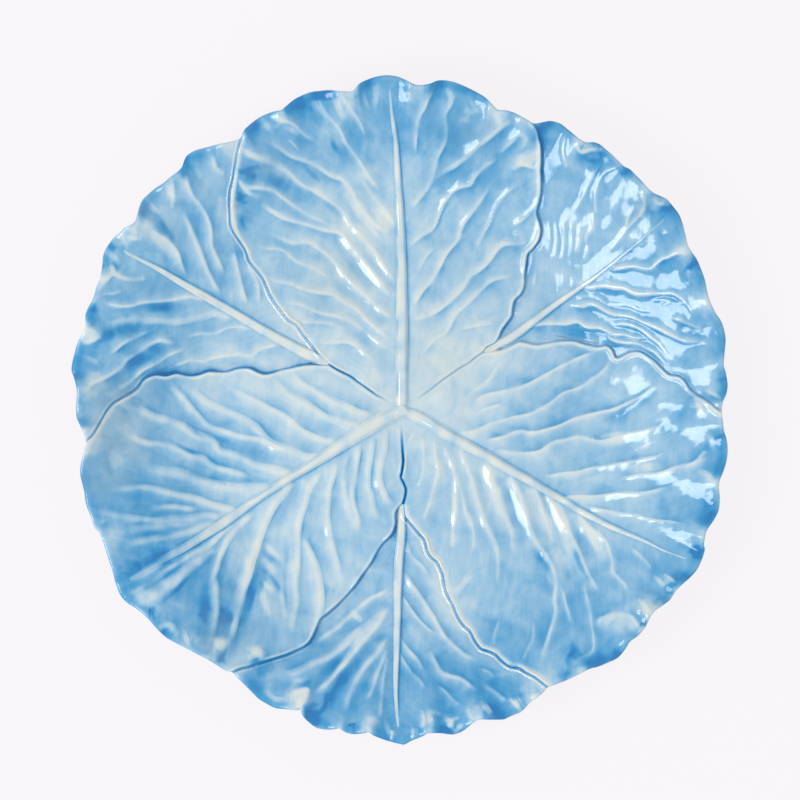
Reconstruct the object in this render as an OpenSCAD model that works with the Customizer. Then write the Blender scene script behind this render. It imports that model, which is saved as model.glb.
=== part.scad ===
// A coupe dinner plate moulded as six overlapping cabbage leaves round a Y-shaped heart.
// The origin is at the centre of the foot, on the table. +Z is up, +Y runs up the top leaf.
// Lengths are in millimetres.

/* [Plate] */
// Nominal diameter across the ruffled rim
plate_d = 265; // [220:1:310]
// Diameter of the flat well, where the side starts to rise
well_d = 140; // [110:1:160]
// Rise from the well to the rim
dish_h = 19; // [12:0.5:26]
// Wall in the well
wall_h = 4.6; // [3.6:0.1:6]
// Wall at the rim
rim_wall_h = 3; // [2.2:0.1:4]

/* [Leaves] */
// Step from an inner leaf down to the outer leaf that it lies on
leaf_step = 1.5; // [0.6:0.1:2.4]
// Height of the rolled lip along an inner leaf's edge
lip_h = 0.5; // [0.2:0.1:1]
// Height of the side veins
vein_h = 0.8; // [0.3:0.1:1.4]
// How far the blade swells between its midrib and its edge
swell_h = 0.4; // [0.1:0.1:1]
// How far the rim rises at its notches and dips at its lobes
ruffle_h = 1.3; // [0.4:0.1:2]

/* [Midribs] */
// Width of an inner leaf's midrib at the heart
rib_w = 4.4; // [3:0.1:5.5]
// Width of an outer leaf's midrib where it comes out from under the inner leaves
outer_rib_w = 3.4; // [2.4:0.1:4.4]
// Width of every midrib at its tip
rib_tip_w = 0.9; // [0.6:0.1:1.4]
// Height of a midrib over its leaf at its thick end
rib_h = 1.4; // [0.8:0.1:2.2]
// Height of a midrib over its leaf at its tip
rib_tip_h = 0.5; // [0.3:0.1:0.8]

/* [Foot] */
// Outer diameter of the foot ring, on the table
foot_d = 146; // [120:1:156]
// Height of the foot ring
foot_h = 3.6; // [2.5:0.1:5]
// Width of the foot ring's flat face on the table
foot_face_w = 3; // [2:0.1:5]
// How far each side of the foot ring spreads from the table up to the plate
foot_spread = 1.6; // [0.5:0.1:3]
// Bevel along the two edges of the foot ring's face
foot_bevel = 0.6; // [0.2:0.1:0.9]
// Flat underside left outside the foot ring
foot_margin = 3; // [1:0.5:6]

/* [Hidden] */

plate_r = plate_d / 2;
well_r = well_d / 2;
foot_r = foot_d / 2;
flat_r = foot_r + foot_spread + foot_margin;
well_z = foot_h + wall_h;

// The leaves were sketched on squared paper, with the plate's radius 331 squares.
// Every place read off it is a share of that radius.
sketch_squares = 331;

// The heart, and the three forks where an outer leaf comes out between two inner ones
heart_share = [2, -1] / sketch_squares;
fork_top_left_share = [-71, 46] / sketch_squares;
fork_top_right_share = [85, 59] / sketch_squares;
fork_bottom_share = [3, -95] / sketch_squares;

// Midribs, from the leaf's root to the middle of its tip
rib_top_shares = [[2, -1], [2, 70], [1, 150], [-2, 230], [-9, 300], [-12, 335]] / sketch_squares;
rib_upper_right_shares = [[85, 59], [120, 79], [160, 109], [200, 137], [240, 169], [279, 198]] / sketch_squares;
rib_lower_right_shares = [[2, -1], [45, -23], [88, -47], [150, -83], [200, -111], [255, -136],
                          [300, -154]] / sketch_squares;
rib_bottom_shares = [[3, -95], [1, -150], [-2, -200], [-4, -260], [-2, -310], [2, -335]] / sketch_squares;
rib_lower_left_shares = [[2, -1], [-60, -36], [-140, -87], [-220, -140], [-285, -172]] / sketch_squares;
rib_upper_left_shares = [[-71, 46], [-120, 70], [-180, 105], [-240, 140], [-272, 156],
                         [-291, 167]] / sketch_squares;

// Seams between two inner leaves, from the heart to a fork
seam_top_left_shares = [[2, -1], [-17, 13], [-32, 21], [-55, 36], [-71, 46]] / sketch_squares;
seam_top_right_shares = [[2, -1], [13, 9], [40, 28], [65, 45], [85, 59]] / sketch_squares;
seam_bottom_shares = [[2, -1], [2, -30], [3, -52], [1, -68], [6, -80], [3, -95]] / sketch_squares;

// Edges of the inner leaves, from a fork to the rim
edge_top_left_shares = [[-71, 46], [-104, 85], [-130, 114], [-144, 140], [-157, 164], [-170, 188],
                        [-171, 207], [-166, 238], [-159, 273]] / sketch_squares;
edge_top_right_shares = [[85, 59], [103, 80], [113, 97], [124, 120], [126, 145], [131, 160],
                         [141, 172], [139, 197], [142, 220], [142, 260], [133, 287]] / sketch_squares;
edge_left_shares = [[-71, 46], [-100, 45], [-135, 37], [-157, 43], [-185, 39], [-210, 35],
                    [-244, 36], [-263, 23], [-287, 7], [-303, -18], [-314, -31]] / sketch_squares;
edge_right_shares = [[85, 59], [112, 65], [128, 68], [166, 70], [198, 64], [211, 64], [217, 52],
                     [234, 59], [256, 49], [270, 35], [286, 29], [303, 12], [322, -1]] / sketch_squares;
edge_bottom_left_shares = [[3, -95], [-4, -110], [-10, -128], [-29, -155], [-58, -192], [-80, -211],
                           [-95, -237], [-125, -249], [-150, -257], [-168, -262]] / sketch_squares;
edge_bottom_right_shares = [[3, -95], [10, -114], [26, -136], [37, -153], [44, -174], [56, -203],
                            [70, -222], [80, -238], [95, -244], [112, -258], [126, -263],
                            [147, -277]] / sketch_squares;

// Rim of each leaf, anticlockwise: a notch, the crest of a lobe, a notch, and so on.
// Each lobe is one arc from notch to notch over its crest.
rim_upper_right_shares = [[322, -1], [328, 22], [324, 45], [325, 76], [311, 107], [304, 135],
                          [290, 161], [279, 198], [255, 216], [242, 231], [228, 242], [207, 260],
                          [187, 268], [160, 287], [133, 287]] / sketch_squares;
rim_top_shares = [[133, 287], [116, 297], [98, 300], [58, 327], [21, 325], [-12, 335], [-46, 320],
                  [-86, 319], [-119, 300], [-144, 291], [-159, 273]] / sketch_squares;
rim_upper_left_shares = [[-159, 273], [-204, 260], [-220, 241], [-251, 217], [-265, 189],
                         [-291, 167], [-301, 129], [-312, 105], [-316, 85], [-328, 48],
                         [-323, 19], [-324, -3], [-314, -31]] / sketch_squares;
rim_lower_left_shares = [[-314, -31], [-319, -70], [-300, -124], [-285, -172], [-252, -209],
                         [-220, -236], [-184, -255], [-176, -259], [-168, -262]] / sketch_squares;
rim_bottom_shares = [[-168, -262], [-138, -292], [-101, -300], [-91, -313], [-62, -318],
                     [-47, -325], [-32, -322], [2, -335], [29, -323], [57, -324], [78, -310],
                     [108, -308], [133, -291], [141, -285], [147, -277]] / sketch_squares;
rim_lower_right_shares = [[147, -277], [170, -270], [192, -258], [211, -253], [225, -242],
                          [240, -227], [249, -211], [263, -197], [273, -186], [300, -154],
                          [305, -131], [317, -105], [319, -78], [328, -40], [322, -1]] / sketch_squares;

// Rows of the mesh from root to tip: along a seam, along an edge, along the rim
seam_rows = 6;
edge_rows = 18;
rim_rows = 12;
tip_rows = 2;
// Steps of the mesh from midrib to edge, on the face and underneath
face_steps = 8;
back_steps = 4;
// Rows between the crests of two side veins
vein_pitch = 3;
// Rows at the heart that stay flat under the crown, and the row from which relief is full
flat_rows = 4;
full_rows = 9;
// First row that carries an outer leaf's midrib, and the rows that a midrib stops short of its tip
outer_rib_row = 2;
rib_stop_rows = 2;

// How much sooner the rows leave the midrib than they reach the edge, so that the veins slant
slant_power = 1.5;
// Bow of a vein, as a share of its length
bow_share = 0.06;
// Height of the row behind a vein's crest, and of the row before the next one
vein_back_share = -0.25;
vein_front_share = 0.1;
// Share of the dish's side that is a parabola, and the rest is an S-curve
parabola_share = 0.45;
// How steeply the ruffle fades inwards
ruffle_power = 9;
// Half width of a midrib near its root, as a share of its distance from there
inner_spread_share = 0.5;
outer_spread_share = 0.2;
// Places across a midrib where its arch has points, from edge to edge
arch_shares = [-0.65, 0, 0.65];
// How far the crown's arms run on past the heart, as a share of a midrib's width
crown_overrun_share = 0.3;

// Colours of the glaze: pooled blue, mid blue, pale blue, and cream where it runs thin
glaze_blue = "#6FAFDA";
glaze_pale = "#9CC8E2";
glaze_cream = "#E3E4D8";

// Curves in the plan

function ramp(x, x0, x1) = min(1, max(0, (x - x0) / (x1 - x0)));
function ease(x) = x * x * (3 - 2 * x);
function sum(v, i = 0) = i < len(v) ? v[i] + sum(v, i + 1) : 0;
function reversed(v) = [for (i = [len(v) - 1 : -1 : 0]) v[i]];

// Point at u from 0 to 1 on the Catmull-Rom curve from b to c, with a before and d after
function catmull(a, b, c, d, u) =
    (2 * b + (c - a) * u + (2 * a - 5 * b + 4 * c - d) * u * u
     + (3 * b - a - 3 * c + d) * u * u * u) / 2;

// Point at s from 0 to 1 along a smooth curve through v
function along(v, s) =
    let (last = len(v) - 1,
         spans = [for (i = [0 : last - 1]) norm(v[i + 1] - v[i])],
         starts = [for (i = 0, c = 0; i <= last; c = c + (i < last ? spans[i] : 0), i = i + 1) c],
         goal = s * sum(spans),
         k = min(last - 1, max([for (i = [0 : last]) starts[i] <= goal ? i : 0])),
         u = (goal - starts[k]) / spans[k])
    catmull(v[max(0, k - 1)], v[k], v[k + 1], v[min(last, k + 2)], u);

// Point at u from 0 to 1 on the arc of a lobe, from notch a over its crest to notch b
function lobe(a, crest, b, u) =
    let (pull = 2 * crest - (a + b) / 2)
    a * (1 - u) * (1 - u) + pull * 2 * u * (1 - u) + b * u * u;

// One rim row as [place, phase]: the phase is -1 at a notch and 1 at a crest.
// The last rows of a half rim climb the near half of the tip's lobe.
function rim_row(v, full_lobes, row) =
    let (body_rows = rim_rows - tip_rows,
         first = [for (q = [0 : full_lobes]) floor(q * body_rows / full_lobes)],
         q = row > body_rows ? full_lobes
                             : max([for (q = [0 : full_lobes - 1]) first[q] < row ? q : 0]),
         u = row > body_rows ? (row - body_rows) / tip_rows / 2
                             : (row - first[q]) / (first[q + 1] - first[q]))
    [lobe(v[2 * q], v[2 * q + 1], v[2 * q + 2], u), -cos(360 * u)];

// One side of a leaf from root to tip, as rows of [place, phase, crest of a vein]
function side_rows(seam, edge, rim, full_lobes) =
    let (seam_count = len(seam) > 0 ? seam_rows : 0)
    concat(
        [for (i = [0 : 1 : seam_count - 1])
            [along(seam, i / seam_rows) * plate_r, -1, vein_crest(i)]],
        [for (i = [0 : edge_rows])
            [along(edge, i / edge_rows) * plate_r, -1, vein_crest(i)]],
        [for (i = [1 : rim_rows])
            let (r = rim_row(rim, full_lobes, i))
            [r[0] * plate_r, r[1], ease((1 - r[1]) / 2)]]);

function vein_crest(row) =
    row % vein_pitch == 0 ? 1 : row % vein_pitch == 1 ? vein_back_share : vein_front_share;

// A leaf as [is inner, midrib places, midrib normals, half widths, right side, left side]
function leaf(inner, rib, seam_right, edge_right, seam_left, edge_left, rim, tip_point) =
    let (rows = (inner ? seam_rows : 0) + edge_rows + rim_rows,
         lobes_right = (tip_point - 1) / 2,
         lobes_left = (len(rim) - 2 - tip_point) / 2,
         spine = [for (i = [0 : rows]) along(rib, pow(i / rows, slant_power)) * plate_r],
         ways = [for (i = [0 : rows]) spine[min(rows, i + 1)] - spine[max(0, i - 1)]],
         normals = [for (w = ways) [-w[1], w[0]] / norm(w)],
         root_w = inner ? rib_w : outer_rib_w,
         spread_share = inner ? inner_spread_share : outer_spread_share,
         halves = [for (i = [0 : rows])
                      min((root_w + (rib_tip_w - root_w) * i / rows) / 2,
                          spread_share * norm(spine[i] - spine[0]))])
    [inner, spine, normals, halves,
     side_rows(seam_right, edge_right, rim, lobes_right),
     side_rows(seam_left, edge_left, reversed(rim), lobes_left)];

function row_count(l) = len(l[1]) - 1;

// Plan place at row i, on side -1 (right) or 1 (left), w from 0 at the midrib to 1 at the edge
function place(l, i, side, w) =
    let (start = l[1][i] + side * l[3][i] * l[2][i],
         end = (side < 0 ? l[4] : l[5])[i][0],
         forward = [l[2][i][1], -l[2][i][0]])
    start + (end - start) * w + forward * norm(end - start) * bow_share * 4 * w * (1 - w);

// Heights

function side_curve(s) = parabola_share * s * s + (1 - parabola_share) * ease(s);
function face_z(r) = well_z + dish_h * side_curve(max(0, (r - well_r) / (plate_r - well_r)));
function back_z(r) =
    foot_h + (dish_h + wall_h - rim_wall_h) * side_curve(max(0, (r - flat_r) / (plate_r - flat_r)));
function ruffle(l, i, side, r) =
    -ruffle_h * (side < 0 ? l[4] : l[5])[i][1] * pow(r / plate_r, ruffle_power);

// Height of a leaf's face over the dish: its step, its lip, its veins and the swell of its blade
function relief(l, i, side, w) =
    let (inner = l[0],
         full = inner ? ease(ramp(i, flat_rows, full_rows)) : ramp(i, 0, vein_pitch),
         crest = (side < 0 ? l[4] : l[5])[i][2],
         on_edge = i <= row_count(l) - rim_rows,
         past_fork = i > (inner ? seam_rows : 0),
         hump = 4 * w * (1 - w),
         at_edge = w == 1 && on_edge && past_fork ? (inner ? lip_h : -lip_h) : 0)
    full * ((inner ? leaf_step : 0) + vein_h * crest * sqrt(hump) + swell_h * hump + at_edge);

function face_point(l, i, side, w) =
    let (p = place(l, i, side, w), r = norm(p))
    [p[0], p[1], face_z(r) + ruffle(l, i, side, r) + relief(l, i, side, w)];

function back_point(l, i, side, w) =
    let (p = place(l, i, side, w), r = norm(p))
    [p[0], p[1], back_z(r) + ruffle(l, i, side, r)];

// Middle of the underside, below the midrib
function back_spine(l, i) =
    let (p = l[1][i], r = norm(p))
    [p[0], p[1], back_z(r) + ruffle(l, i, 1, r) ];

// Every row runs from the right edge over the midrib to the left edge
function face_row(l, i) =
    concat([for (j = [face_steps : -1 : 0]) face_point(l, i, -1, j / face_steps)],
           [for (j = [0 : face_steps]) face_point(l, i, 1, j / face_steps)]);
function back_row(l, i) =
    concat([for (j = [back_steps : -1 : 1]) back_point(l, i, -1, j / back_steps)],
           [back_spine(l, i)],
           [for (j = [1 : back_steps]) back_point(l, i, 1, j / back_steps)]);

// A closed leaf: its face, its underside, a wall along each edge, and a point at root and tip
module leaf_solid(l) {
    rows = row_count(l);
    nf = 2 * face_steps + 2;
    nb = 2 * back_steps + 1;
    face_rows = [for (i = [1 : rows - 1]) each face_row(l, i)];
    back_rows = [for (i = [1 : rows - 1]) each back_row(l, i)];
    ends = [face_point(l, 0, 1, 1), back_point(l, 0, 1, 1),
            face_point(l, rows, 1, 1), back_point(l, rows, 1, 1)];
    back_first = len(face_rows);
    root_face = back_first + len(back_rows);
    root_back = root_face + 1;
    tip_face = root_face + 2;
    tip_back = root_face + 3;
    last = rows - 2;
    faces = concat(
        [for (i = [0 : last - 1], c = [0 : nf - 2])
            let (a = i * nf + c)
            each [[a, a + 1, a + nf + 1], [a, a + nf + 1, a + nf]]],
        [for (i = [0 : last - 1], c = [0 : nb - 2])
            let (a = back_first + i * nb + c)
            each [[a + nb, a + nb + 1, a], [a + nb + 1, a + 1, a]]],
        [for (i = [0 : last - 1])
            let (f = i * nf, b = back_first + i * nb, g = f + nf - 1, h = b + nb - 1)
            each [[f, f + nf, b + nb], [f, b + nb, b], [g + nf, g, h], [g + nf, h, h + nb]]],
        [for (c = [0 : nf - 2]) [root_face, c + 1, c]],
        [for (c = [0 : nf - 2]) [last * nf + c, last * nf + c + 1, tip_face]],
        [for (c = [0 : nb - 2]) [root_back, back_first + c, back_first + c + 1]],
        [for (c = [0 : nb - 2])
            let (a = back_first + last * nb + c) [a + 1, a, tip_back]],
        [[root_face, 0, back_first], [root_face, back_first, root_back],
         [nf - 1, root_face, root_back], [nf - 1, root_back, back_first + nb - 1]],
        let (f = last * nf, b = back_first + last * nb, g = f + nf - 1, h = b + nb - 1)
        [[f, tip_face, tip_back], [f, tip_back, b], [tip_face, g, h], [tip_face, h, tip_back]]);
    polyhedron(points = concat(face_rows, back_rows, ends), faces = faces);
}

// Section of a midrib at row i: its two feet on the leaf, and the arch between them
function rib_section(l, i) =
    let (right = face_point(l, i, -1, 0),
         left = face_point(l, i, 1, 0),
         h = rib_h + (rib_tip_h - rib_h) * i / row_count(l))
    concat([right],
           [for (u = arch_shares)
               right + (left - right) * (1 + u) / 2 + [0, 0, h * sqrt(1 - u * u)]],
           [left]);

// A closed bar through a list of sections of the same number of points
module bar(sections) {
    n = len(sections[0]);
    last = len(sections) - 1;
    faces = concat(
        [for (i = [0 : last - 1], c = [0 : n - 2])
            let (a = i * n + c)
            each [[a, a + 1, a + n + 1], [a, a + n + 1, a + n]]],
        [for (i = [0 : last - 1])
            let (a = i * n, b = a + n - 1)
            each [[b + n, b, a], [a + n, b + n, a]]],
        [for (c = [1 : n - 2]) [0, c + 1, c]],
        [for (c = [1 : n - 2]) [last * n, last * n + c, last * n + c + 1]]);
    polyhedron(points = [for (s = sections) each s], faces = faces);
}

module rib_solid(l) {
    first = l[0] ? flat_rows : outer_rib_row;
    bar([for (i = [first : row_count(l) - rib_stop_rows]) rib_section(l, i)]);
}

// One arm of the crown: a midrib's first section, carried back to the heart and a little past it
module crown_arm(l) {
    start = rib_section(l, flat_rows);
    way = l[1][flat_rows] - l[1][0];
    back = way * (1 + crown_overrun_share * rib_w / norm(way));
    bar([[for (p = start) p - [back[0], back[1], 0]], start]);
}

top_leaf = leaf(true, rib_top_shares, seam_top_right_shares, edge_top_right_shares,
                seam_top_left_shares, edge_top_left_shares, rim_top_shares, 5);
upper_right_leaf = leaf(false, rib_upper_right_shares, [], edge_right_shares,
                        [], edge_top_right_shares, rim_upper_right_shares, 7);
lower_right_leaf = leaf(true, rib_lower_right_shares, seam_bottom_shares, edge_bottom_right_shares,
                        seam_top_right_shares, edge_right_shares, rim_lower_right_shares, 9);
bottom_leaf = leaf(false, rib_bottom_shares, [], edge_bottom_left_shares,
                   [], edge_bottom_right_shares, rim_bottom_shares, 7);
lower_left_leaf = leaf(true, rib_lower_left_shares, seam_top_left_shares, edge_left_shares,
                       seam_bottom_shares, edge_bottom_left_shares, rim_lower_left_shares, 3);
upper_left_leaf = leaf(false, rib_upper_left_shares, [], edge_top_left_shares,
                       [], edge_left_shares, rim_upper_left_shares, 5);

module leaf_top() { color(glaze_pale) leaf_solid(top_leaf); }
module leaf_upper_right() { color(glaze_blue) leaf_solid(upper_right_leaf); }
module leaf_lower_right() { color(glaze_pale) leaf_solid(lower_right_leaf); }
module leaf_bottom() { color(glaze_blue) leaf_solid(bottom_leaf); }
module leaf_lower_left() { color(glaze_pale) leaf_solid(lower_left_leaf); }
module leaf_upper_left() { color(glaze_blue) leaf_solid(upper_left_leaf); }

module midrib_top() { color(glaze_cream) rib_solid(top_leaf); }
module midrib_upper_right() { color(glaze_cream) rib_solid(upper_right_leaf); }
module midrib_lower_right() { color(glaze_cream) rib_solid(lower_right_leaf); }
module midrib_bottom() { color(glaze_cream) rib_solid(bottom_leaf); }
module midrib_lower_left() { color(glaze_cream) rib_solid(lower_left_leaf); }
module midrib_upper_left() { color(glaze_cream) rib_solid(upper_left_leaf); }

module crown() {
    color(glaze_cream)
    union() {
        crown_arm(top_leaf);
        crown_arm(lower_left_leaf);
        crown_arm(lower_right_leaf);
    }
}

module foot_ring() {
    inner_r = foot_r - foot_face_w - 2 * foot_bevel;
    color(glaze_pale)
    rotate_extrude($fn = 96)
    polygon([[inner_r + foot_bevel, 0], [foot_r - foot_bevel, 0], [foot_r, foot_bevel],
             [foot_r + foot_spread, foot_h], [inner_r - foot_spread, foot_h],
             [inner_r, foot_bevel]]);
}

leaf_top();
leaf_upper_right();
leaf_lower_right();
leaf_bottom();
leaf_lower_left();
leaf_upper_left();
midrib_top();
midrib_upper_right();
midrib_lower_right();
midrib_bottom();
midrib_lower_left();
midrib_upper_left();
crown();
foot_ring();
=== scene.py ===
# %% [markdown]
# A cabbage-leaf dinner plate in glazed earthenware. The real plate is pressed in one piece over a
# mould, so its six leaves, their midribs and the foot are one body. Here each is a piece of its own,
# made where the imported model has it, so that every part of the relief can be looked at alone.

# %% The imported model
import math
import re

import bpy
import numpy as np
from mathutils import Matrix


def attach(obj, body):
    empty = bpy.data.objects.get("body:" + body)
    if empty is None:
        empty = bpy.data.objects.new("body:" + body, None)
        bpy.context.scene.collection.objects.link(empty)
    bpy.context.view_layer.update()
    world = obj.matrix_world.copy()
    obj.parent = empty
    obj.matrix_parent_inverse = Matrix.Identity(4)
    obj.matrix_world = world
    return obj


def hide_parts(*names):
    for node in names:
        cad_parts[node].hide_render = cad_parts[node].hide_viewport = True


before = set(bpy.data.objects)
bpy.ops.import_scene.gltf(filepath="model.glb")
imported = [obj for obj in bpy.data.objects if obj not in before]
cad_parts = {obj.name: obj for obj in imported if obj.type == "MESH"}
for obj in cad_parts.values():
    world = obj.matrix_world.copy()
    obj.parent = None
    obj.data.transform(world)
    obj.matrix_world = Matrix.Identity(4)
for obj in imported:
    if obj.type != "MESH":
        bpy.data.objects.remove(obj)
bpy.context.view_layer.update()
bpy.ops.object.select_all(action="DESELECT")


# %% [markdown]
# The plate was drawn from above on the photograph's own squares: 331 squares are its radius of
# 132.5 mm, and the centre is at 400, 410. Every line of a leaf is a short list of such places, read
# one by one and joined by a Catmull-Rom curve, as a sculptor would follow a drawing. That curve goes
# through every place of the list, which a Bezier or a spline with handles would not without more
# numbers.

# %% From drawing to millimetres
PLATE_R = 132.5
SQUARE = PLATE_R / 331
CENTRE = (400, 410)
HEART = "402,411"


def read_places(text):
    """Places on the drawing as x and y in millimetres, and the further numbers written with them."""
    read = np.array([[float(v) for v in place.split(",")] for place in text.split()])
    return np.column_stack([read[:, 0] - CENTRE[0], CENTRE[1] - read[:, 1]]) * SQUARE, read[:, 2:]


def places(text):
    """Places on the drawing as x and y in millimetres from the plate's centre."""
    return read_places(text)[0]


def curve(points, step=0.9):
    """A smooth line through the points, with a place about every step millimetres."""
    p = np.vstack([2 * points[0] - points[1], points, 2 * points[-1] - points[-2]])
    out = []
    for a, b, c, d in zip(p, p[1:], p[2:], p[3:]):
        n = max(1, int(round(np.linalg.norm(c - b) / step)))
        u = (np.arange(n) / n)[:, None]
        out.append((2 * b + (c - a) * u + (2 * a - 5 * b + 4 * c - d) * u ** 2
                    + (3 * b - a - 3 * c + d) * u ** 3) / 2)
    return np.vstack(out + [points[-1:]])


def distances(line):
    """How far along the line each of its points is."""
    return np.concatenate([[0], np.cumsum(np.linalg.norm(np.diff(line, axis=0), axis=1))])


def at_lengths(line, lengths):
    """The places that lie so far along the line."""
    s = distances(line)
    return np.column_stack([np.interp(lengths, s, line[:, k]) for k in (0, 1)])


def spaced(line, count):
    """The line as count steps of the same length."""
    return at_lengths(line, np.linspace(0, distances(line)[-1], count + 1))


heart = places(HEART)[0]
print("one square, mm:", round(SQUARE, 4), "heart, mm:", heart.round(1).tolist())

# %% [markdown]
# Neighbouring leaves share their edges, so each edge is drawn once. Seams part two inner leaves
# between the heart and a fork, and edges run on from the fork to the rim.

# %% Seams, edges and rims
SEAMS = {
    "top_left": "402,411 383,398 378,396 368,389 358,382 350,376 338,370 328,364",
    "top_right": "402,411 413,401 420,397 430,390 440,382 450,375 460,368 470,362 476,357 485,351",
    "bottom": "402,411 402,424 402,440 403,455 403.5,462 402,472 401,478 404,484 406,490 405,498 403,505",
}
EDGES = {
    "top_left": "328,364 321,357 315,350 308,341 302,334 296,325 288,320 283,314 276,305 270,296 266,287 "
                "262,278 256,270 248,260 245,250 240,242 234,233 230,225 229.5,215 229,205 230,190 "
                "233,178 235,165 238,150 241,137",
    "top_right": "485,351 488,347 496,343 500,337 503,330 508,323 513,316 514,308 516,300 522,294 "
                 "526,285 526,275 527,262 529,253 535,247 540,240 542,230 541,222 538,212 540,203 "
                 "542,192 542,180 541,170 542,160 542,148 540,138 538,130 533,123",
    "left": "328,364 322,364 310,364 300,365 290,367 280,369 272,372 265,373.5 258,372 250,368 243,367 "
            "235,368 225,371 215,371 207,371 198,374 190,375 183,374 175,372.5 165,375 156,374 148,376 "
            "142,380 137,387 130,393 120,399 113,403 107,410 103,417 97,428 92,436 86,441",
    "right": "485,351 495,350 503,349 512,345 520,341 528,342 537,344 545,343 555,341 566,340 575,340 "
             "585,343 598,346 608,345 614,350 617,357 622,356 630,352 640,351 648,355 656,361 662,367 "
             "670,374 680,376 686,381 691,389 698,395 703,398 710,403 717,409 722,412",
    "bottom_left": "403,505 398,510 396,515 396,525 393,534 390,538 385,543 380,549 376,556 371,565 "
                   "366,572 360,580 352,591 342,602 332,611 325,617 320,621 316,630 311,641 305,647 "
                   "295,652 285,656 275,659 262,663 250,667 240,669 232,672.5",
    "bottom_right": "403,505 404,515 405,518 410,524 415,530 420,536 424,540 426,546 428,553 432,559 "
                    "437,563 440,569 443,576 444,583 446,592 449,599 453,606 456,614 459,620 464,627 "
                    "470,632 474,640 478,646 482,650 488,652 495,655 500,660 506,665 512,668 519,669 "
                    "526,673 534,677 541,682 548,687.5",
}
RIMS = {
    "top": "241,137 244,130 250,124 258,118 266,114 275,111 281,110 286,106 293,100 300,96 310,92 "
           "320,90.5 330,90 340,91 352,91 356,87 360,83 368,79 378,76 388,75 398,76.5 406,80 414,84 "
           "421,85 430,83.5 437,80.5 445,80 455,82 465,86 475,91 485,97 492,104 498,109.5 505,110 "
           "513,112 521,116 528,120 533,123",
    "upper_right": "533,123 538,123 544,121.5 550,120.5 556,121.5 562,124 568,129 574,134 580,139 "
                   "586,142 594,142 600,144 606,149 612,154 618,160 624,166 630,169 636,175 642,181 "
                   "648,188 654,193 660,195.5 667,199 673,206 679,214 683,224 686,236 688,245 692,252 "
                   "697,259 701,268 705,279 708,294 711,303 716,313 722,322 725,332 726,341 725,352 "
                   "724,365 726,372 728,384 727,393 723,403 722,412",
    "lower_right": "722,412 723,420 724,430 727,440 728,450 727,460 724,470 720,480 719,488 720,498 "
                   "719,510 714,520 707,530 705,537 704,545 705,550 702,560 697,570 691,577 683,584 "
                   "676,591 670,600 662,606 654,612 649,620 645,628 638,636 630,642 625,650 618,658 "
                   "608,663 598,667 590,669 580,674 570,679 560,683 548,687.5",
    "bottom": "232,672.5 240,681 250,691 258,699 266,704 275,708.5 285,709.5 296,710.5 300,709 301,713 "
              "304,718 309,723 316,728 325,730 333,730 338,728.5 341,730 346,733 353,734.5 361,734 "
              "368,732.5 374,736 381,739 390,742 398,744 404,745 410,742 417,739 424,736 428,733.5 "
              "440,733.5 452,735 460,733 465,730 470,726 475,722 480,720 490,720 503,720 508,718 515,715 "
              "520,713 525,709 530,703 536,699 542,694 548,687.5",
    "lower_left": "232,672.5 224,670 216,665 208,660 198,655 187,649 175,643 165,637 156,628 148,619 "
                  "138,610 127,603 120,595 115,582 112,570 108,558 104,545 100,534 94,527 91,518 87,508 "
                  "85,500 84,492 82,484 80,475 80,467 82,458 84,450 86,441",
    "upper_left": "86,441 84,436 82,430 79,424 76,417 75.5,408 76,400 76.5,391 75,383 73,376 71,370 "
                  "72,362 74,354 76,346 79,339 83,332 85,325 85,316 87,309 91,302 94,295 96,288 99,281 "
                  "101,273 102,265 103,255 106,248 110,242 115,236 120,232 124,228 130,225 135,221 "
                  "137,215 139,207 142,200 148,194 155,188 163,183 170,177 178,171 182,166 184,160 "
                  "187,155 193,151 200,148.5 210,146 220,143.5 230,141.5 238,139 241,137",
}
LEAVES = {  # leaf: (seam and edge right of its midrib, seam and edge left of it)
    "top": (("top_right", "top_right"), ("top_left", "top_left")),
    "lower_left": (("top_left", "left"), ("bottom", "bottom_left")),
    "lower_right": (("bottom", "bottom_right"), ("top_right", "right")),
    "upper_right": ((None, "right"), (None, "top_right")),
    "bottom": ((None, "bottom_left"), (None, "bottom_right")),
    "upper_left": ((None, "top_left"), (None, "left")),
}
INNER = ("top", "lower_left", "lower_right")    # they reach the heart and lie over the other three
seam_lines = {k: curve(places(v)) for k, v in SEAMS.items()}
edge_lines = {k: curve(places(v)) for k, v in EDGES.items()}
rim_lines = {k: curve(places(v), 0.5) for k, v in RIMS.items()}
print("rim length, mm:", round(sum(distances(r)[-1] for r in rim_lines.values())))

# %% [markdown]
# A midrib is a line with a width at each place: x, y and width, in squares. The inner leaves'
# midribs start at the heart, and the outer ones where the leaf comes out at its fork.

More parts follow.
